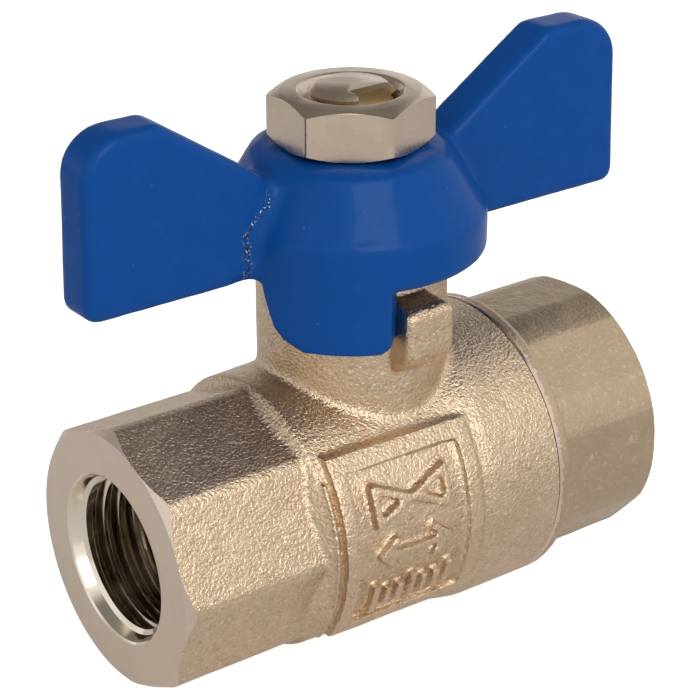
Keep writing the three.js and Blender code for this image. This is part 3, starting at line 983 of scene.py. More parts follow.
@dataclass
class MarkingPanel:
    """The raised frame on the barrel's front, with a generic relief: valve sign, double arrow, tick bars."""

    left: float = -9.0
    right: float = 3.9
    top: float = 7.8
    bottom: float = -7.4
    rim: float = 1.25
    frame_r: float = 11.74
    relief_r: float = 11.82
    stroke_width: float = 0.6
    near: float = -6.0
    far: float = -13.0

    def _turned_limit(self, radius_left: float, radius_right: float) -> bpy.types.Object:
        """The round surface that the relief follows."""
        start, end = self.left - 1, self.right + 1
        return turned("limit", [(0, start), (radius_left, start), (radius_right, end), (0, end)], Axis.FLOW)

    def frame(self) -> bpy.types.Object:
        """The frame with its open middle."""
        plate = box("frame", (self.left, self.far, self.bottom), (self.right, self.near, self.top))
        inside = box(
            "inside",
            (self.left + self.rim, self.far - 1, self.bottom + self.rim),
            (self.right - self.rim, self.near + 1, self.top - self.rim),
        )
        combine(plate, Join.CUT, inside)
        return combine(plate, Join.KEEP_COMMON, self._turned_limit(self.frame_r, self.frame_r + 0.25))

    def flash(self) -> bpy.types.Object:
        """The thin die line left of the frame."""
        low = (self.left - 0.75, self.far, self.bottom - 0.1)
        ridge = box("flash", low, (self.left - 0.45, self.near, self.top - 1.6))
        return combine(ridge, Join.KEEP_COMMON, self._turned_limit(11.42, 11.42))

    def _stroke(self, start: Point, end: Point) -> bpy.types.Object:
        """One raised line between two points of the front plane."""
        run = Vector((end[0] - start[0], end[1] - start[1]))
        side = Vector((-run.y, run.x)).normalized() * self.stroke_width / 2
        along = run.normalized() * self.stroke_width / 3
        first, last = Vector(start) - along, Vector(end) + along
        corners = [first - side, last - side, last + side, first + side]
        stroke = pushed("stroke", [tuple(c) for c in corners], Plane.FRONT, self.far, self.near)
        return combine(stroke, Join.KEEP_COMMON, self._turned_limit(self.relief_r, self.relief_r + 0.24))

    def relief(self) -> list[bpy.types.Object]:
        """Every raised line of the three signs."""
        middle = (self.left + self.right) / 2
        lines = []
        row, half, tall = 3.7, 3.3, 1.35
        for way in (-1, 1):
            tip = (middle + way * 0.15, row)
            corners = [(middle + way * half, row + tall), (middle + way * half, row - tall)]
            lines += [(tip, corners[0]), (corners[0], corners[1]), (corners[1], tip)]
        row, half = -0.35, 3.1
        lines.append(((middle - half, row), (middle + half, row)))
        for way in (-1, 1):
            tip = (middle + way * half, row)
            lines += [(tip, (tip[0] - way * 1.3, row + rise)) for rise in (1.15, -1.15)]
        row = -4.25
        for step in range(-3, 4):
            tall = 1.25 if step % 3 == 0 else 0.7
            place = middle + step * 1.15
            lines.append(((place, row - tall), (place, row + tall)))
        return [self._stroke(*line) for line in lines]


@dataclass
class StopLug:
    """One of the two wedges on the neck that stop the handle."""

    front_y: float = -10.17
    front_half: float = 2.3
    root_half: float = 1.6
    root_y: float = -5.9
    top: float = 18.1
    rise: float = 0.6
    bottom: float = 13.45
    toe: float = 0.6
    heel: float = 12.3

    def build(self, neck_r: float) -> bpy.types.Object:
        """The wedge, its edges broken."""
        plan = [
            (-self.root_half, self.root_y),
            (-self.front_half, self.front_y),
            (self.front_half, self.front_y),
            (self.root_half, self.root_y),
        ]
        side = [
            (self.front_y, self.bottom + self.toe),
            (self.front_y, self.top),
            (self.root_y, self.top + self.rise),
            (self.root_y, self.heel),
            (-neck_r, self.heel),
        ]
        lug = pushed("lug", plan, Plane.PLAN, self.heel - 1, self.top + 1)
        profile = pushed("lug_profile", side, Plane.SIDE, -self.front_half - 1, self.front_half + 1)
        combine(lug, Join.KEEP_COMMON, profile)
        apply(lug, "BEVEL", width=0.7 * MM, segments=4, limit_method="ANGLE")
        return lug


@dataclass
class ValveBody:
    """The forged body: octagon inlet, round barrel, neck, stop lugs and marking panel, then the machining."""

    finishes: Finishes
    thread: PipeThread
    octagon: Octagon
    barrel_start: float = -10.9
    inlet_r: float = 11.0
    middle_x: float = 2.0
    middle_r: float = 11.4
    cap_x: float = 5.4
    cap_r: float = 12.03
    seam: float = 11.80
    edge_break: float = 0.12
    neck_r: float = 7.43
    chamber_r: float = 7.9
    seat_r: float = 6.95
    cap_bore_r: float = 9.7
    stem_bore_r: float = 3.8
    gland_bore_r: float = 5.2
    voxel: float = 0.18

    def _skin(self) -> bpy.types.Object:
        """The forging before it is machined."""
        face = frame_low("valve_body").x
        top = frame_high("valve_body").z
        barrel = turned(
            "barrel",
            [
                (0, self.barrel_start),
                (9.85, self.barrel_start),
                (10.25, self.barrel_start + 0.35),
                (self.inlet_r, self.barrel_start + 1.0),
                (self.middle_r, self.middle_x),
                (self.middle_r + 0.2, self.middle_x + 1.2),
                (self.cap_r - 0.15, self.cap_x - 0.9),
                (self.cap_r, self.cap_x),
                (self.cap_r, self.seam + 0.6),
                (0, self.seam + 0.6),
            ],
            Axis.FLOW,
        )
        neck = turned("neck", [(0, 3), (self.neck_r, 3), (self.neck_r, top + 0.6), (0, top + 0.6)], Axis.STEM)
        lug = StopLug().build(self.neck_r)
        panel = MarkingPanel()
        bar = self.octagon.bar(face - 0.6, self.barrel_start + 2)
        parts = [bar, neck, lug, copy_turned(lug, 180), panel.frame(), panel.flash(), *panel.relief()]
        return cast_skin(gather(barrel, *parts), self.voxel, 2)

    def _foot(self, place: Vector) -> float:
        """How much a point belongs to the fillet where the neck meets the barrel."""
        from_stem = math.hypot(place.x, place.y)
        from_flow = math.hypot(place.y, place.z)
        near_neck = fade(abs(from_stem - self.neck_r), 0.5, 1.6)
        near_barrel = fade(abs(from_flow - self.middle_r), 0.5, 1.6)
        return near_neck * near_barrel if place.z > 0 else 0.0

    def _machine(self, body: bpy.types.Object) -> None:
        """Faces, bores and taps the forging."""
        face = frame_low("valve_body").x
        top = frame_high("valve_body").z
        seam_face = turned(
            "seam_face",
            [
                (0, self.seam),
                (self.cap_r - self.edge_break, self.seam),
                (self.cap_r + 1, self.seam - self.edge_break - 1),
                (self.cap_r + 2, self.seam + 2),
                (0, self.seam + 2),
            ],
            Axis.FLOW,
        )
        chamber = turned(
            "chamber",
            [
                (0, -8.3), (self.seat_r, -8.3), (self.seat_r, -5.2), (self.chamber_r, -5.2),
                (self.chamber_r, 5.6), (self.cap_bore_r, 5.6), (self.cap_bore_r, self.seam - 0.3),
                (self.cap_bore_r + 1.3, self.seam + 1), (0, self.seam + 1),
            ],
            Axis.FLOW, FINE_STEPS,
        )
        stem_way = turned(
            "stem_way",
            [
                (0, 4), (4.9, 4), (4.9, 10.8), (self.stem_bore_r, 10.8), (self.stem_bore_r, 16.2),
                (self.gland_bore_r, 16.2), (self.gland_bore_r, top - 0.3), (self.gland_bore_r + 1.3, top + 1),
                (0, top + 1),
            ],
            Axis.STEM, FINE_STEPS,
        )
        neck_face = turned("neck_face", [(0, top), (20, top), (20, top + 5), (0, top + 5)], Axis.STEM, 64)
        combine(body, Join.CUT, self.octagon.facing_tool(face, -1), seam_face, neck_face)
        self.thread.cut(body, face, -1, -8.0)
        combine(body, Join.CUT, chamber, stem_way)

    def _finish_of(self, middle: Vector, normal: Vector) -> int:
        """0 for a face of the forging, 1 for a machined one, 2 for one inside the tapped mouth."""
        from_flow = math.hypot(middle.y, middle.z)
        face = frame_low("valve_body").x
        if from_flow < self.thread.tapped_r and middle.x < -self.chamber_r:
            return 2
        on_face = normal.x < -0.45 and middle.x < face + 1.1
        in_bore = from_flow < 9.75 and middle.z < 9.0 and abs(middle.x) < 22.5
        in_stem_way = math.hypot(middle.x, middle.y) < 5.6 and middle.z > 3
        on_top = normal.z > 0.9 and middle.z > 22.3
        at_seam = normal.x > 0.5 and middle.x > self.seam - 0.4
        return int(on_face or in_bore or in_stem_way or on_top or at_seam)

    def build(self) -> bpy.types.Object:
        """Makes and dresses the body."""
        body = self._skin()
        blend_where(body, self._foot, 34)
        undulate(body, 1.1, 0.05)
        apply(body, "DECIMATE", ratio=0.62)
        self._machine(body)
        finishes = self.finishes
        dress(body, finishes.forging, finishes.machined, finishes.tapped, pick=self._finish_of)
        return finished(body, "valve_body", Body.VALVE)


@dataclass
class EndCap:
    """The screwed-in cap with the outlet octagon, and the ring that seals it."""

    finishes: Finishes
    thread: PipeThread
    octagon: Octagon
    shoulder: float = 11.86
    collar_end: float = 13.1
    collar_r: float = 12.03
    thread_r: float = 9.4
    thread_start: float = 7.2
    seat_r: float = 6.95
    voxel: float = 0.2

    def build(self) -> bpy.types.Object:
        """Makes the cap: the forged octagon and collar, then the turned spigot and the tapped mouth."""
        face = frame_high("end_cap").x
        collar = turned(
            "collar",
            [
                (0, self.shoulder - 0.6), (self.collar_r, self.shoulder - 0.6),
                (self.collar_r, self.collar_end),
                (0, self.collar_end),
            ],
            Axis.FLOW,
        )
        cap = cast_skin(gather(collar, self.octagon.bar(self.collar_end - 1, face + 0.6)), self.voxel, 2)
        blend_where(cap, self._collar_foot, 14)
        undulate(cap, 1.1, 0.045)
        apply(cap, "DECIMATE", ratio=0.62)
        back = turned(
            "back",
            [
                (0, self.shoulder - 3), (self.collar_r + 2, self.shoulder - 3),
                (self.collar_r + 2, self.shoulder + 2.2),
                (self.collar_r - 0.12, self.shoulder), (0, self.shoulder),
            ],
            Axis.FLOW,
        )
        combine(cap, Join.CUT, back, self.octagon.facing_tool(face, 1))
        spigot = turned(
            "spigot",
            [
                (0, self.thread_start), (self.thread_r - 0.25, self.thread_start),
                (self.thread_r, self.thread_start + 0.25), (self.thread_r, self.shoulder + 1),
                (0, self.shoulder + 1),
            ],
            Axis.FLOW, FINE_STEPS,
        )
        combine(cap, Join.ADD, spigot)
        pocket = [(0, 6), (self.seat_r, 6), (self.seat_r, 8.3), (0, 8.3)]
        combine(cap, Join.CUT, turned("pocket", pocket, Axis.FLOW, FINE_STEPS))
        self.thread.cut(cap, face, 1, 8.0)
        finishes = self.finishes
        dress(cap, finishes.smooth_shaded_forging, finishes.machined, finishes.tapped, pick=self._finish_of)
        return finished(cap, "end_cap", Body.VALVE)

    def _collar_foot(self, place: Vector) -> float:
        """How much a point belongs to the soft step from the collar down to the octagon."""
        return fade(abs(place.x - self.collar_end), 0.3, 1.0)

    def _finish_of(self, middle: Vector, normal: Vector) -> int:
        """0 for a face of the forging, 1 for a machined one, 2 for one inside the tapped mouth."""
        from_flow = math.hypot(middle.y, middle.z)
        if from_flow < self.thread.tapped_r and middle.x > self.shoulder:
            return 2
        on_face = normal.x > 0.45 and middle.x > 22.3
        in_bore = from_flow < 9.0 and abs(middle.x) < 23.45
        return int(on_face or in_bore or middle.x < self.shoulder + 0.25)

    def build_seal(self) -> bpy.types.Object:
        """The flat ring that the cap clamps."""
        low, high = frame_low("cap_seal"), frame_high("cap_seal")
        outer, inner, soft = high.z, 8.2, 0.12
        outline = [
            (inner, low.x + soft), (inner + soft, low.x), (outer - soft, low.x), (outer, low.x + soft),
            (outer, high.x - soft), (outer - soft, high.x), (inner + soft, high.x), (inner, high.x - soft),
        ]
        ring = turned("cap_seal", outline, Axis.FLOW, FINE_STEPS)
        dress(ring, self.finishes.ptfe_flow)
        return finished(ring, "cap_seal", Body.VALVE)


@dataclass
class BallAndSeats:
    """The chromed ball and the two rings it turns in."""

    finishes: Finishes
    ball_r: float = 7.4
    flow_r: float = 4.5
    slot_half: float = 1.7
    slot_floor: float = 5.3
    seat_r: float = 6.65
    seat_front: float = 5.0
    seat_back: float = 8.0
    running_gap: float = 0.12

    def build_ball(self) -> bpy.types.Object:
        """The ball: a turned sphere with its rounded bore and the stem's slot."""
        edge = 0.35
        start = math.degrees(math.asin((self.flow_r + edge) / self.ball_r))
        lip = self.ball_r * math.cos(math.radians(start))
        outline = arc((0, 0), self.ball_r, 90 - start, start - 90, 48)
        sphere = [(x, y) for x, y in outline]
        bore = [(self.flow_r + edge * 0.3, -lip - 0.02), (self.flow_r, -lip + edge)]
        sphere += [*bore, *[(r, -x) for r, x in reversed(bore)]]
        ball = turned("ball", sphere, Axis.FLOW, ROUND_STEPS)
        slot = box("slot", (-self.slot_half, -9, self.slot_floor), (self.slot_half, 9, 9))
        apply(slot, "BEVEL", width=0.25 * MM, segments=3, limit_method="ANGLE")
        combine(ball, Join.CUT, slot)
        dress(ball, self.finishes.ball)
        return finished(ball, "ball", Body.BALL)

    def build_seat(self, node: str, way: int) -> bpy.types.Object:
        """One seat ring, its face turned to the ball's own curve.

        Args:
            node: The CAD node.
            way: 1 for the outlet side, -1 for the inlet side.

        Returns:
            The ring.
        """
        face_r = self.ball_r + self.running_gap
        start = math.degrees(math.asin((self.flow_r + 0.1) / face_r))
        end = math.degrees(math.acos((self.seat_front + 0.02) / face_r))
        curve = [(y, way * x) for x, y in arc((0, 0), face_r, start, end, 10)]
        soft = 0.12
        back = self.seat_back
        outline = [
            *curve,
            (self.seat_r - soft, way * self.seat_front),
            (self.seat_r, way * (self.seat_front + soft)),
            (self.seat_r, way * (back - soft)),
            (self.seat_r - soft, way * back),
            (self.flow_r + soft, way * back),
            (self.flow_r, way * (back - soft)),
        ]
        ring = turned(node, outline, Axis.FLOW, FINE_STEPS)
        dress(ring, self.finishes.ptfe_flow)
        return finished(ring, node, Body.VALVE)


@dataclass
class StemAssembly:
    """The stem with its double-D tip and thread, and what seals it in the neck."""

    finishes: Finishes
    stem_r: float = 3.5
    thread_root_r: float = 3.05
    thread_pitch: float = 0.8
    thread_start: float = 26.0
    tip_chamfer: float = 0.75
    collar_r: float = 4.6
    tang_half_x: float = 1.4
    tang_half_y: float = 3.2
    groove_z: float = 13.0
    groove_half: float = 0.75
    groove_r: float = 2.5
    ring_r: float = 3.15
    wire_r: float = 0.5
    flat_y: float = 2.74
    flat_from: float = 24.1
    notch_x: float = -1.3
    notch_y: float = -1.4
    notch_depth: float = 1.3

    def build_stem(self) -> bpy.types.Object:
        """The turned stem, threaded, flattened and tanged."""
        low, top = frame_low("stem").z, frame_high("stem").z
        collar_low, collar_high, soft = 8.2, 9.5, 0.15
        shaft = turned(
            "stem",
            [
                (0, collar_low), (self.collar_r - soft, collar_low), (self.collar_r, collar_low + soft),
                (self.collar_r, collar_high - soft), (self.collar_r - soft, collar_high),
                (self.stem_r, collar_high),
                (self.stem_r, self.groove_z - self.groove_half),
                (self.groove_r, self.groove_z - self.groove_half),
                (self.groove_r, self.groove_z + self.groove_half),
                (self.stem_r, self.groove_z + self.groove_half),
                (self.stem_r, self.thread_start - 0.4), (self.thread_root_r, self.thread_start),
                (self.thread_root_r, top), (0, top),
            ],
            Axis.STEM, FINE_STEPS,
        )
        thread = screw_solid(
            "stem_thread", Axis.STEM, self.thread_start - 0.5, top - 0.3, self.stem_r,
            self.thread_root_r - 0.02,
            self.thread_pitch,
        )
        combine(shaft, Join.ADD, thread)
        tip = top - self.tip_chamfer
        limit = [(0, 0), (6, 0), (6, 20), (self.stem_r + 0.05, 20), (self.stem_r + 0.05, tip - 0.05),
                 (self.stem_r - self.tip_chamfer, top - 0.05),
                 (self.stem_r - self.tip_chamfer - 0.12, top), (0, top)]
        combine(shaft, Join.KEEP_COMMON, turned("tip_limit", limit, Axis.STEM, FINE_STEPS))
        for way in (-1, 1):
            near, far = sorted((way * self.flat_y, way * 6))
            combine(shaft, Join.CUT, box("flat", (-6, near, self.flat_from), (6, far, top + 1)))
        notch = box("notch", (self.notch_x, -4, top - self.notch_depth), (4, self.notch_y, top + 1))
        combine(shaft, Join.CUT, notch)
        tang_top = collar_low + 0.5
        tang = turned(
            "tang",
            [(0, low), (self.tang_half_y - 0.3, low), (self.tang_half_y, low + 0.3),
             (self.tang_half_y, tang_top),
             (0, tang_top)],
            Axis.STEM, FINE_STEPS,
        )
        slab = box("tang_slab", (-self.tang_half_x, -5, low - 1), (self.tang_half_x, 5, tang_top + 1))
        combine(tang, Join.KEEP_COMMON, slab)
        combine(shaft, Join.ADD, tang)
        notch_floor = top - self.notch_depth - 0.05
        dress(
            shaft, self.finishes.stem, self.finishes.stem_tip,
            pick=lambda middle, normal: int(self._is_sheared(middle, normal, notch_floor)),
        )
        return finished(shaft, "stem", Body.HANDLE)

    def _is_sheared(self, middle: Vector, normal: Vector, notch_floor: float) -> bool:
        """Whether a face belongs to the notch sheared out of the tip, above its floor."""
        on_wall = normal.y < -0.9 and abs(middle.y - self.notch_y) < 0.05
        on_end = normal.x > 0.9 and abs(middle.x - self.notch_x) < 0.05
        on_floor = normal.z > 0.9 and middle.y < self.notch_y and middle.z < notch_floor + 0.1
        return middle.z > notch_floor and (on_wall or on_end or on_floor)

    def _ring(
        self, node: str, inner: float, material: bpy.types.Material
    ) -> bpy.types.Object:
        """A flat ring as large as its CAD node, its edges broken."""
        low, high = frame_low(node), frame_high(node)
        outer, soft = high.x, 0.12
        outline = [
            (inner, low.z + soft), (inner + soft, low.z), (outer - soft, low.z), (outer, low.z + soft),
            (outer, high.z - soft), (outer - soft, high.z), (inner + soft, high.z), (inner, high.z - soft),
        ]
        ring = turned(node, outline, Axis.STEM, FINE_STEPS)
        dress(ring, material)
        return finished(ring, node, Body.VALVE)

    def build_seals(self) -> None:
        """The thrust washer, the O-ring and the packing ring."""
        bore = self.stem_r + 0.15
        self._ring("stem_thrust_washer", bore, self.finishes.ptfe_stem)
        self._ring("stem_packing_ring", bore, self.finishes.ptfe_stem)
        section = arc((self.ring_r, self.groove_z), self.wire_r, 0, 360 - 360 / 24, 23)
        ring = turned("stem_o_ring", section, Axis.STEM, FINE_STEPS)
        dress(ring, self.finishes.nitrile)
        finished(ring, "stem_o_ring", Body.HANDLE)

    def build_gland(self) -> bpy.types.Object:
        """The slotted brass nut that squeezes the packing."""
        low, high = frame_low("gland_nut").z, frame_high("gland_nut").z
        outer = frame_high("gland_nut").x
        root, inner, soft = outer - 0.35, self.stem_r + 0.25, 0.25
        outline = [
            (inner, low + soft), (inner + soft, low), (root, low), (root, high),
            (inner + soft, high), (inner, high - soft),
        ]
        nut = turned("gland_nut", outline, Axis.STEM, FINE_STEPS)
        thread = screw_solid("gland_thread", Axis.STEM, low - 0.6, high, outer, root - 0.02, 0.75)
        limit = [
            (4.3, low), (root, low), (outer, low + 0.35), (outer, high - 0.35), (root, high), (4.3, high),
        ]
        combine(thread, Join.KEEP_COMMON, turned("gland_limit", limit, Axis.STEM, FINE_STEPS))
        combine(nut, Join.ADD, thread)
        combine(nut, Join.CUT, box("gland_slot", (-0.7, -6, high - 1.4), (0.7, 6, high + 1)))
        dress(nut, self.finishes.brass)
        return finished(nut, "gland_nut", Body.VALVE)


@dataclass
class ButterflyHandle:
    """The die-cast handle: a hub with a skirt and stop tabs, and two flat wings."""

    finishes: Finishes
    hub_r: float = 10.42
    rim_z: float = 20.0
    shoulder_z: float = 23.7
    crown_r: float = 7.9
    crown_z: float = 27.75
    top: float = 28.46
    flat_r: float = 6.9
    skirt_r: float = 8.3
    ceiling_z: float = 24.4
    tab_from: float = 195.0
    tab_to: float = 249.5
    wing_half: float = 2.05
    wing_root: float = 7.0
    wing_bottom: float = 20.2
    wing_slope: float = 0.66
    edge_radius: float = 0.8
    voxel: float = 0.24
    cap_side_tip_top: float = 25.05
    cap_side_peak: float = 18.35
    inlet_side_tip_top: float = 23.95
    inlet_side_top: float = 33.85
    inlet_side_peak: float = 18.1

    def _hub(self, top: float) -> bpy.types.Object:
        """The hub and its crown, solid for now."""
        return turned(
            "hub",
            [
                (0, self.rim_z), (self.hub_r - 0.5, self.rim_z), (self.hub_r, self.rim_z + 0.5),
                *arc((self.hub_r - 1.2, self.shoulder_z - 0.5), 1.2, 0, 52, 5),
                (self.crown_r + 0.35, self.crown_z - 0.6), (self.crown_r - 0.25, self.crown_z + 0.35),
                (self.flat_r, top), (0, top),
            ],
            Axis.STEM,
        )

    def _wing(self, tip: float, tip_top: float, top: float, peak: float) -> bpy.types.Object:
        """A wing that reaches towards +X, its edges rounded.

        Args:
            tip: How far its foot reaches.
            tip_top: How far its shoulder reaches.
            top: Its highest place.
            peak: Where the level top begins.

        Returns:
            The wing.
        """
        foot, shoulder, crest = 1.1, 3.4, 1.3
        lean = math.degrees(math.atan2(tip - tip_top, top - self.wing_bottom))
        slope = math.degrees(math.atan(self.wing_slope))
        outline = [
            (self.wing_root, self.wing_bottom),
            *arc((tip - foot - 0.05, self.wing_bottom + foot), foot, -90, lean, 5),
            *arc((tip_top - shoulder + 0.2, top - shoulder), shoulder, lean, 90, 9),
            *arc((peak, top - crest), crest, 90, 90 + slope, 4),
        ]
        start = outline[-1]
        outline.append((self.wing_root, start[1] - (start[0] - self.wing_root) * self.wing_slope))
        wing = pushed("wing", outline, Plane.FRONT, -self.wing_half, self.wing_half)
        apply(
            wing, "BEVEL", width=self.edge_radius * MM, segments=4, limit_method="ANGLE",
            angle_limit=math.radians(50), use_clamp_overlap=True,
        )
        return wing

    def _tab(self, bottom: float) -> bpy.types.Object:
        """One skirt tab: a slice of the skirt whose left edge flares up to the rim."""
        middle = (self.tab_from + self.tab_to) / 2
        edge = {
            angle: self.hub_r * math.sin(math.radians(angle - middle)) for angle in (194, 199, 204, 213, 245)
        }
        right = self.hub_r * math.sin(math.radians(self.tab_to - middle))
        outline = [
            (edge[194], self.rim_z + 1.2), (edge[194], self.rim_z - 0.3), (edge[199], 17.0),
            (edge[204], 16.0),
            (edge[213], bottom + 0.1), (edge[245], bottom), (right, bottom + 0.55), (right, self.rim_z + 1.2),
        ]
        tab = pushed("tab", outline, Plane.FRONT, -14, -4)
        tab.data.transform(Matrix.Rotation(math.radians(middle - 270), 4, "Z"))
        ring = [
            (self.skirt_r - 0.6, 15), (self.hub_r - 0.02, 15), (self.hub_r - 0.02, 22),
            (self.skirt_r - 0.6, 22),
        ]
        return combine(tab, Join.KEEP_COMMON, turned("tab_ring", ring, Axis.STEM))

    def _root(self, place: Vector) -> float:
        """How much a point belongs to the fillet between a wing and the hub."""
        from_stem = math.hypot(place.x, place.y)
        hub_here = self.hub_r
        if place.z > self.shoulder_z:
            share = (place.z - self.shoulder_z) / (self.crown_z - self.shoulder_z)
            hub_here = self.hub_r + (self.crown_r - self.hub_r) * min(share, 1.0)
        beside = fade(abs(abs(place.y) - self.wing_half), 0.9, 2.2)
        return fade(abs(from_stem - hub_here), 0.8, 2.2) * beside * float(place.z > self.wing_bottom)

    def build(self) -> bpy.types.Object:
        """Makes and dresses the handle."""
        low, high = frame_low("butterfly_handle"), frame_high("butterfly_handle")
        hub = self._hub(self.top)
        cap_side = self._wing(high.x, self.cap_side_tip_top, high.z, self.cap_side_peak)
        inlet_side = self._wing(-low.x, self.inlet_side_tip_top, self.inlet_side_top, self.inlet_side_peak)
        inlet_side.data.transform(Matrix.Rotation(math.pi, 4, "Z"))
        tab = self._tab(low.z)
        gather(hub, cap_side, inlet_side, tab, copy_turned(tab, 180))
        cast_skin(hub, self.voxel, 3)
        blend_where(hub, self._root, 50)
        undulate(hub, 2.2, 0.06)
        cavity = [
            (0, 10), (self.skirt_r, 10), (self.skirt_r, self.ceiling_z - 0.4),
            (self.skirt_r - 0.4, self.ceiling_z),
            (0, self.ceiling_z),
        ]
        combine(hub, Join.CUT, turned("cavity", cavity, Axis.STEM, FINE_STEPS))
        hole_r, hole_flat = 3.62, 2.86
        hole = turned("hole", [(0, 20), (hole_r, 20), (hole_r, 32), (0, 32)], Axis.STEM, FINE_STEPS)
        combine(hole, Join.KEEP_COMMON, box("between", (-9, -hole_flat, 18), (9, hole_flat, 40)))
        combine(hub, Join.CUT, hole)
        dress(hub, self.finishes.enamel)
        return finished(hub, "butterfly_handle", Body.HANDLE, 40)


@dataclass
class HandleNut:
    """The thin hexagon nut, chamfered on both faces."""

    finishes: Finishes
    across_flats: float = 11.13
    yaw: float = -38.0
    chamfer: float = 0.6
    hole_r: float = 4.06
    thread_r: float = 3.52
    seat_z: float = 28.5

    def build(self) -> bpy.types.Object:
        """Makes and dresses the nut."""
        top = frame_high("handle_nut").z
        corner = self.across_flats / 2 / math.cos(math.pi / 6)
        turns = [math.radians(self.yaw - 60 + 60 * i) for i in range(6)]
        hexagon = [(corner * math.cos(t), corner * math.sin(t)) for t in turns]
        nut = pushed("handle_nut", hexagon, Plane.PLAN, self.seat_z, top)
        apply(nut, "BEVEL", width=0.22 * MM, segments=3, limit_method="ANGLE")
        rounded = [
            (0, self.seat_z), (corner - 2 * self.chamfer, self.seat_z), (corner, self.seat_z + self.chamfer),
            (corner, top - self.chamfer), (corner - 1.75 * self.chamfer, top - 0.05),
            (corner - 2 * self.chamfer, top), (0, top),
        ]
        combine(nut, Join.KEEP_COMMON, turned("nut_limit", rounded, Axis.STEM, 192))
        lead = self.hole_r - self.thread_r
        hole = [
            (0, self.seat_z - 1), (self.hole_r, self.seat_z - 1), (self.hole_r, self.seat_z),
            (self.thread_r, self.seat_z + lead), (self.thread_r, top - lead * 1.3),
            (self.hole_r - 0.08, top - 0.08),
            (self.hole_r + 0.05, top), (self.hole_r + 0.05, top + 1), (0, top + 1),
        ]
        combine(nut, Join.CUT, turned("nut_hole", hole, Axis.STEM, FINE_STEPS))
        dress(nut, self.finishes.nut)
        return finished(nut, "handle_nut", Body.HANDLE, 20)


# ---- floor, light and camera ----


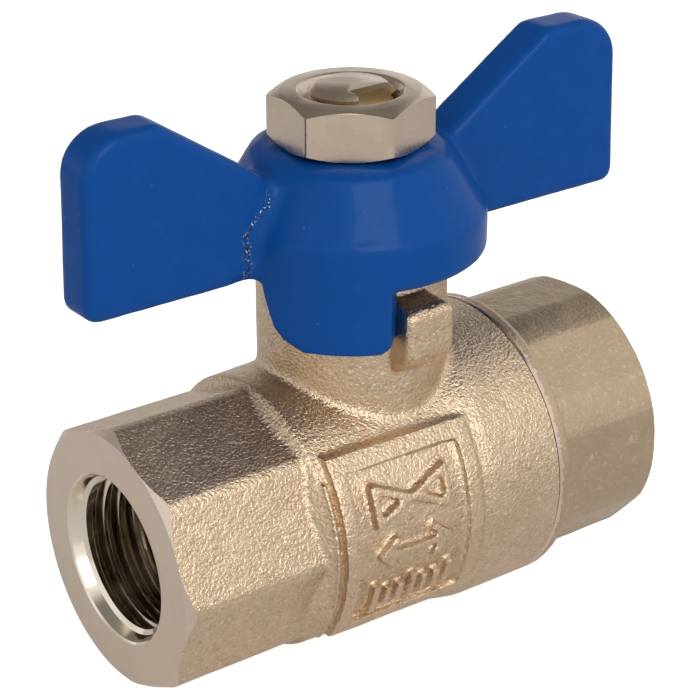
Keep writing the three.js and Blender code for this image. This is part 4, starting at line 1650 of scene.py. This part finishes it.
@dataclass
class Studio:
    """A plain pale floor, soft light and the camera."""

    azimuth: float = -36.709
    elevation: float = 24.777
    roll: float = -0.123
    origin_right: float = 0.131
    origin_up: float = -10.075
    distance: float = 175.5
    lens: float = 111.67
    floor_gap: float = 0.02

    def _directions(self) -> tuple[Vector, Vector, Vector]:
        """The camera's right, up and backward directions."""
        a, e = math.radians(self.azimuth), math.radians(self.elevation)
        back = Vector((math.sin(a) * math.cos(e), -math.cos(a) * math.cos(e), math.sin(e)))
        right = Vector((math.cos(a), math.sin(a), 0))
        up = back.cross(right)
        c, s = math.cos(math.radians(self.roll)), math.sin(math.radians(self.roll))
        return right * c + up * s, up * c - right * s, back

    def build_camera(self) -> None:
        """Places the camera and makes it the scene's."""
        right, up, back = self._directions()
        data = bpy.data.cameras.new("camera")
        data.lens = self.lens
        data.sensor_width = 36.0
        data.clip_start = 0.005
        data.clip_end = 20.0
        camera = bpy.data.objects.new("camera", data)
        bpy.context.scene.collection.objects.link(camera)
        turn = Matrix((right, up, back)).transposed().to_4x4()
        place = back * self.distance - right * self.origin_right - up * self.origin_up
        camera.matrix_world = Matrix.Translation(place * MM) @ turn
        bpy.context.scene.camera = camera

    def build_floor(self, height: float) -> None:
        """A wide pale floor under the valve.

        Args:
            height: The lowest point of the valve, in metres.
        """
        deselect_all()
        bpy.ops.mesh.primitive_plane_add(size=8.0, location=(0, 0, height - self.floor_gap * MM))
        floor = bpy.context.object
        floor.name = "floor"
        material, bench, shader = new_finish("pale_floor")
        shader.inputs["Base Color"].default_value = (0.78, 0.78, 0.78, 1)
        shader.inputs["Roughness"].default_value = 0.9
        shader.inputs["Specular IOR Level"].default_value = 0.0
        shader.inputs["Emission Color"].default_value = (1, 1, 1, 1)
        seen = bench.node("LightPath").outputs["Is Camera Ray"]
        strength = bench.math("ADD", bench.math("MULTIPLY", seen, 0.74), 0.02)
        bench.tree.links.new(strength, shader.inputs["Emission Strength"])
        floor.data.materials.append(material)
        floor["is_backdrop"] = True

    @staticmethod
    def _softbox(
        name: str, towards: Sequence[float], distance: float, size: float, power: float, tint: Sequence[float]
    ) -> None:
        """One square area light that faces the valve.

        Args:
            name: The light's name.
            towards: Direction from the valve to the light.
            distance: How far away it stands, in metres.
            size: Its side, in metres.
            power: Its power in watts.
            tint: Its colour.
        """
        data = bpy.data.lights.new(name, "AREA")
        data.energy, data.size, data.color = power, size, tint
        light = bpy.data.objects.new(name, data)
        bpy.context.scene.collection.objects.link(light)
        way = Vector(towards).normalized()
        facing = way.to_track_quat("Z", "Y").to_matrix().to_4x4()
        light.matrix_world = Matrix.Translation(way * distance) @ facing

    def build_light(self) -> None:
        """One softbox from the front, and a sky that darkens overhead and behind."""
        light_sky, dark_sky = (0.93, 0.93, 0.92, 1), (0.22, 0.215, 0.205, 1)
        behind_share, dark_from, dark_to = 0.6, 0.58, 0.95
        self._softbox(
            "key", towards=(-0.16, -0.79, 0.59), distance=0.9, size=0.55, power=3.0, tint=(1.0, 0.99, 0.96)
        )
        world = bpy.data.worlds.new("sky")
        world.use_nodes = True
        bench = NodeBench(world.node_tree)
        place = bench.node("TexCoord").outputs["Generated"]
        split = bench.node("SeparateXYZ", {0: place})
        behind = bench.math("MULTIPLY", split.outputs[1], behind_share)
        overhead = bench.math("ADD", split.outputs[2], behind)
        shade = bench.mix(bench.window(overhead, dark_from, dark_to), light_sky, dark_sky)
        background = world.node_tree.nodes["Background"]
        world.node_tree.links.new(shade, background.inputs["Color"])
        bpy.context.scene.world = world
        bpy.context.scene.view_settings.view_transform = "Standard"


def main() -> None:
    """Builds the valve around the frame, piece by piece."""
    logging.basicConfig(level=logging.INFO, format="%(message)s")
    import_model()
    cad_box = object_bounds()
    finishes = Finishes()
    thread = PipeThread()
    ValveBody(finishes, thread, Octagon(flat_r=10.0, corner_r=10.68)).build()
    cap = EndCap(finishes, thread, Octagon(flat_r=10.6, corner_r=10.92, turn=19.5))
    cap.build()
    cap.build_seal()
    core = BallAndSeats(finishes)
    core.build_ball()
    core.build_seat("inlet_seat_ring", -1)
    core.build_seat("outlet_seat_ring", 1)
    stem = StemAssembly(finishes)
    stem.build_stem()
    stem.build_seals()
    stem.build_gland()
    ButterflyHandle(finishes).build()
    HandleNut(finishes).build()
    studio = Studio()
    studio.build_camera()
    studio.build_floor(cad_box[0].z)
    studio.build_light()


if __name__ == "__main__":
    main()
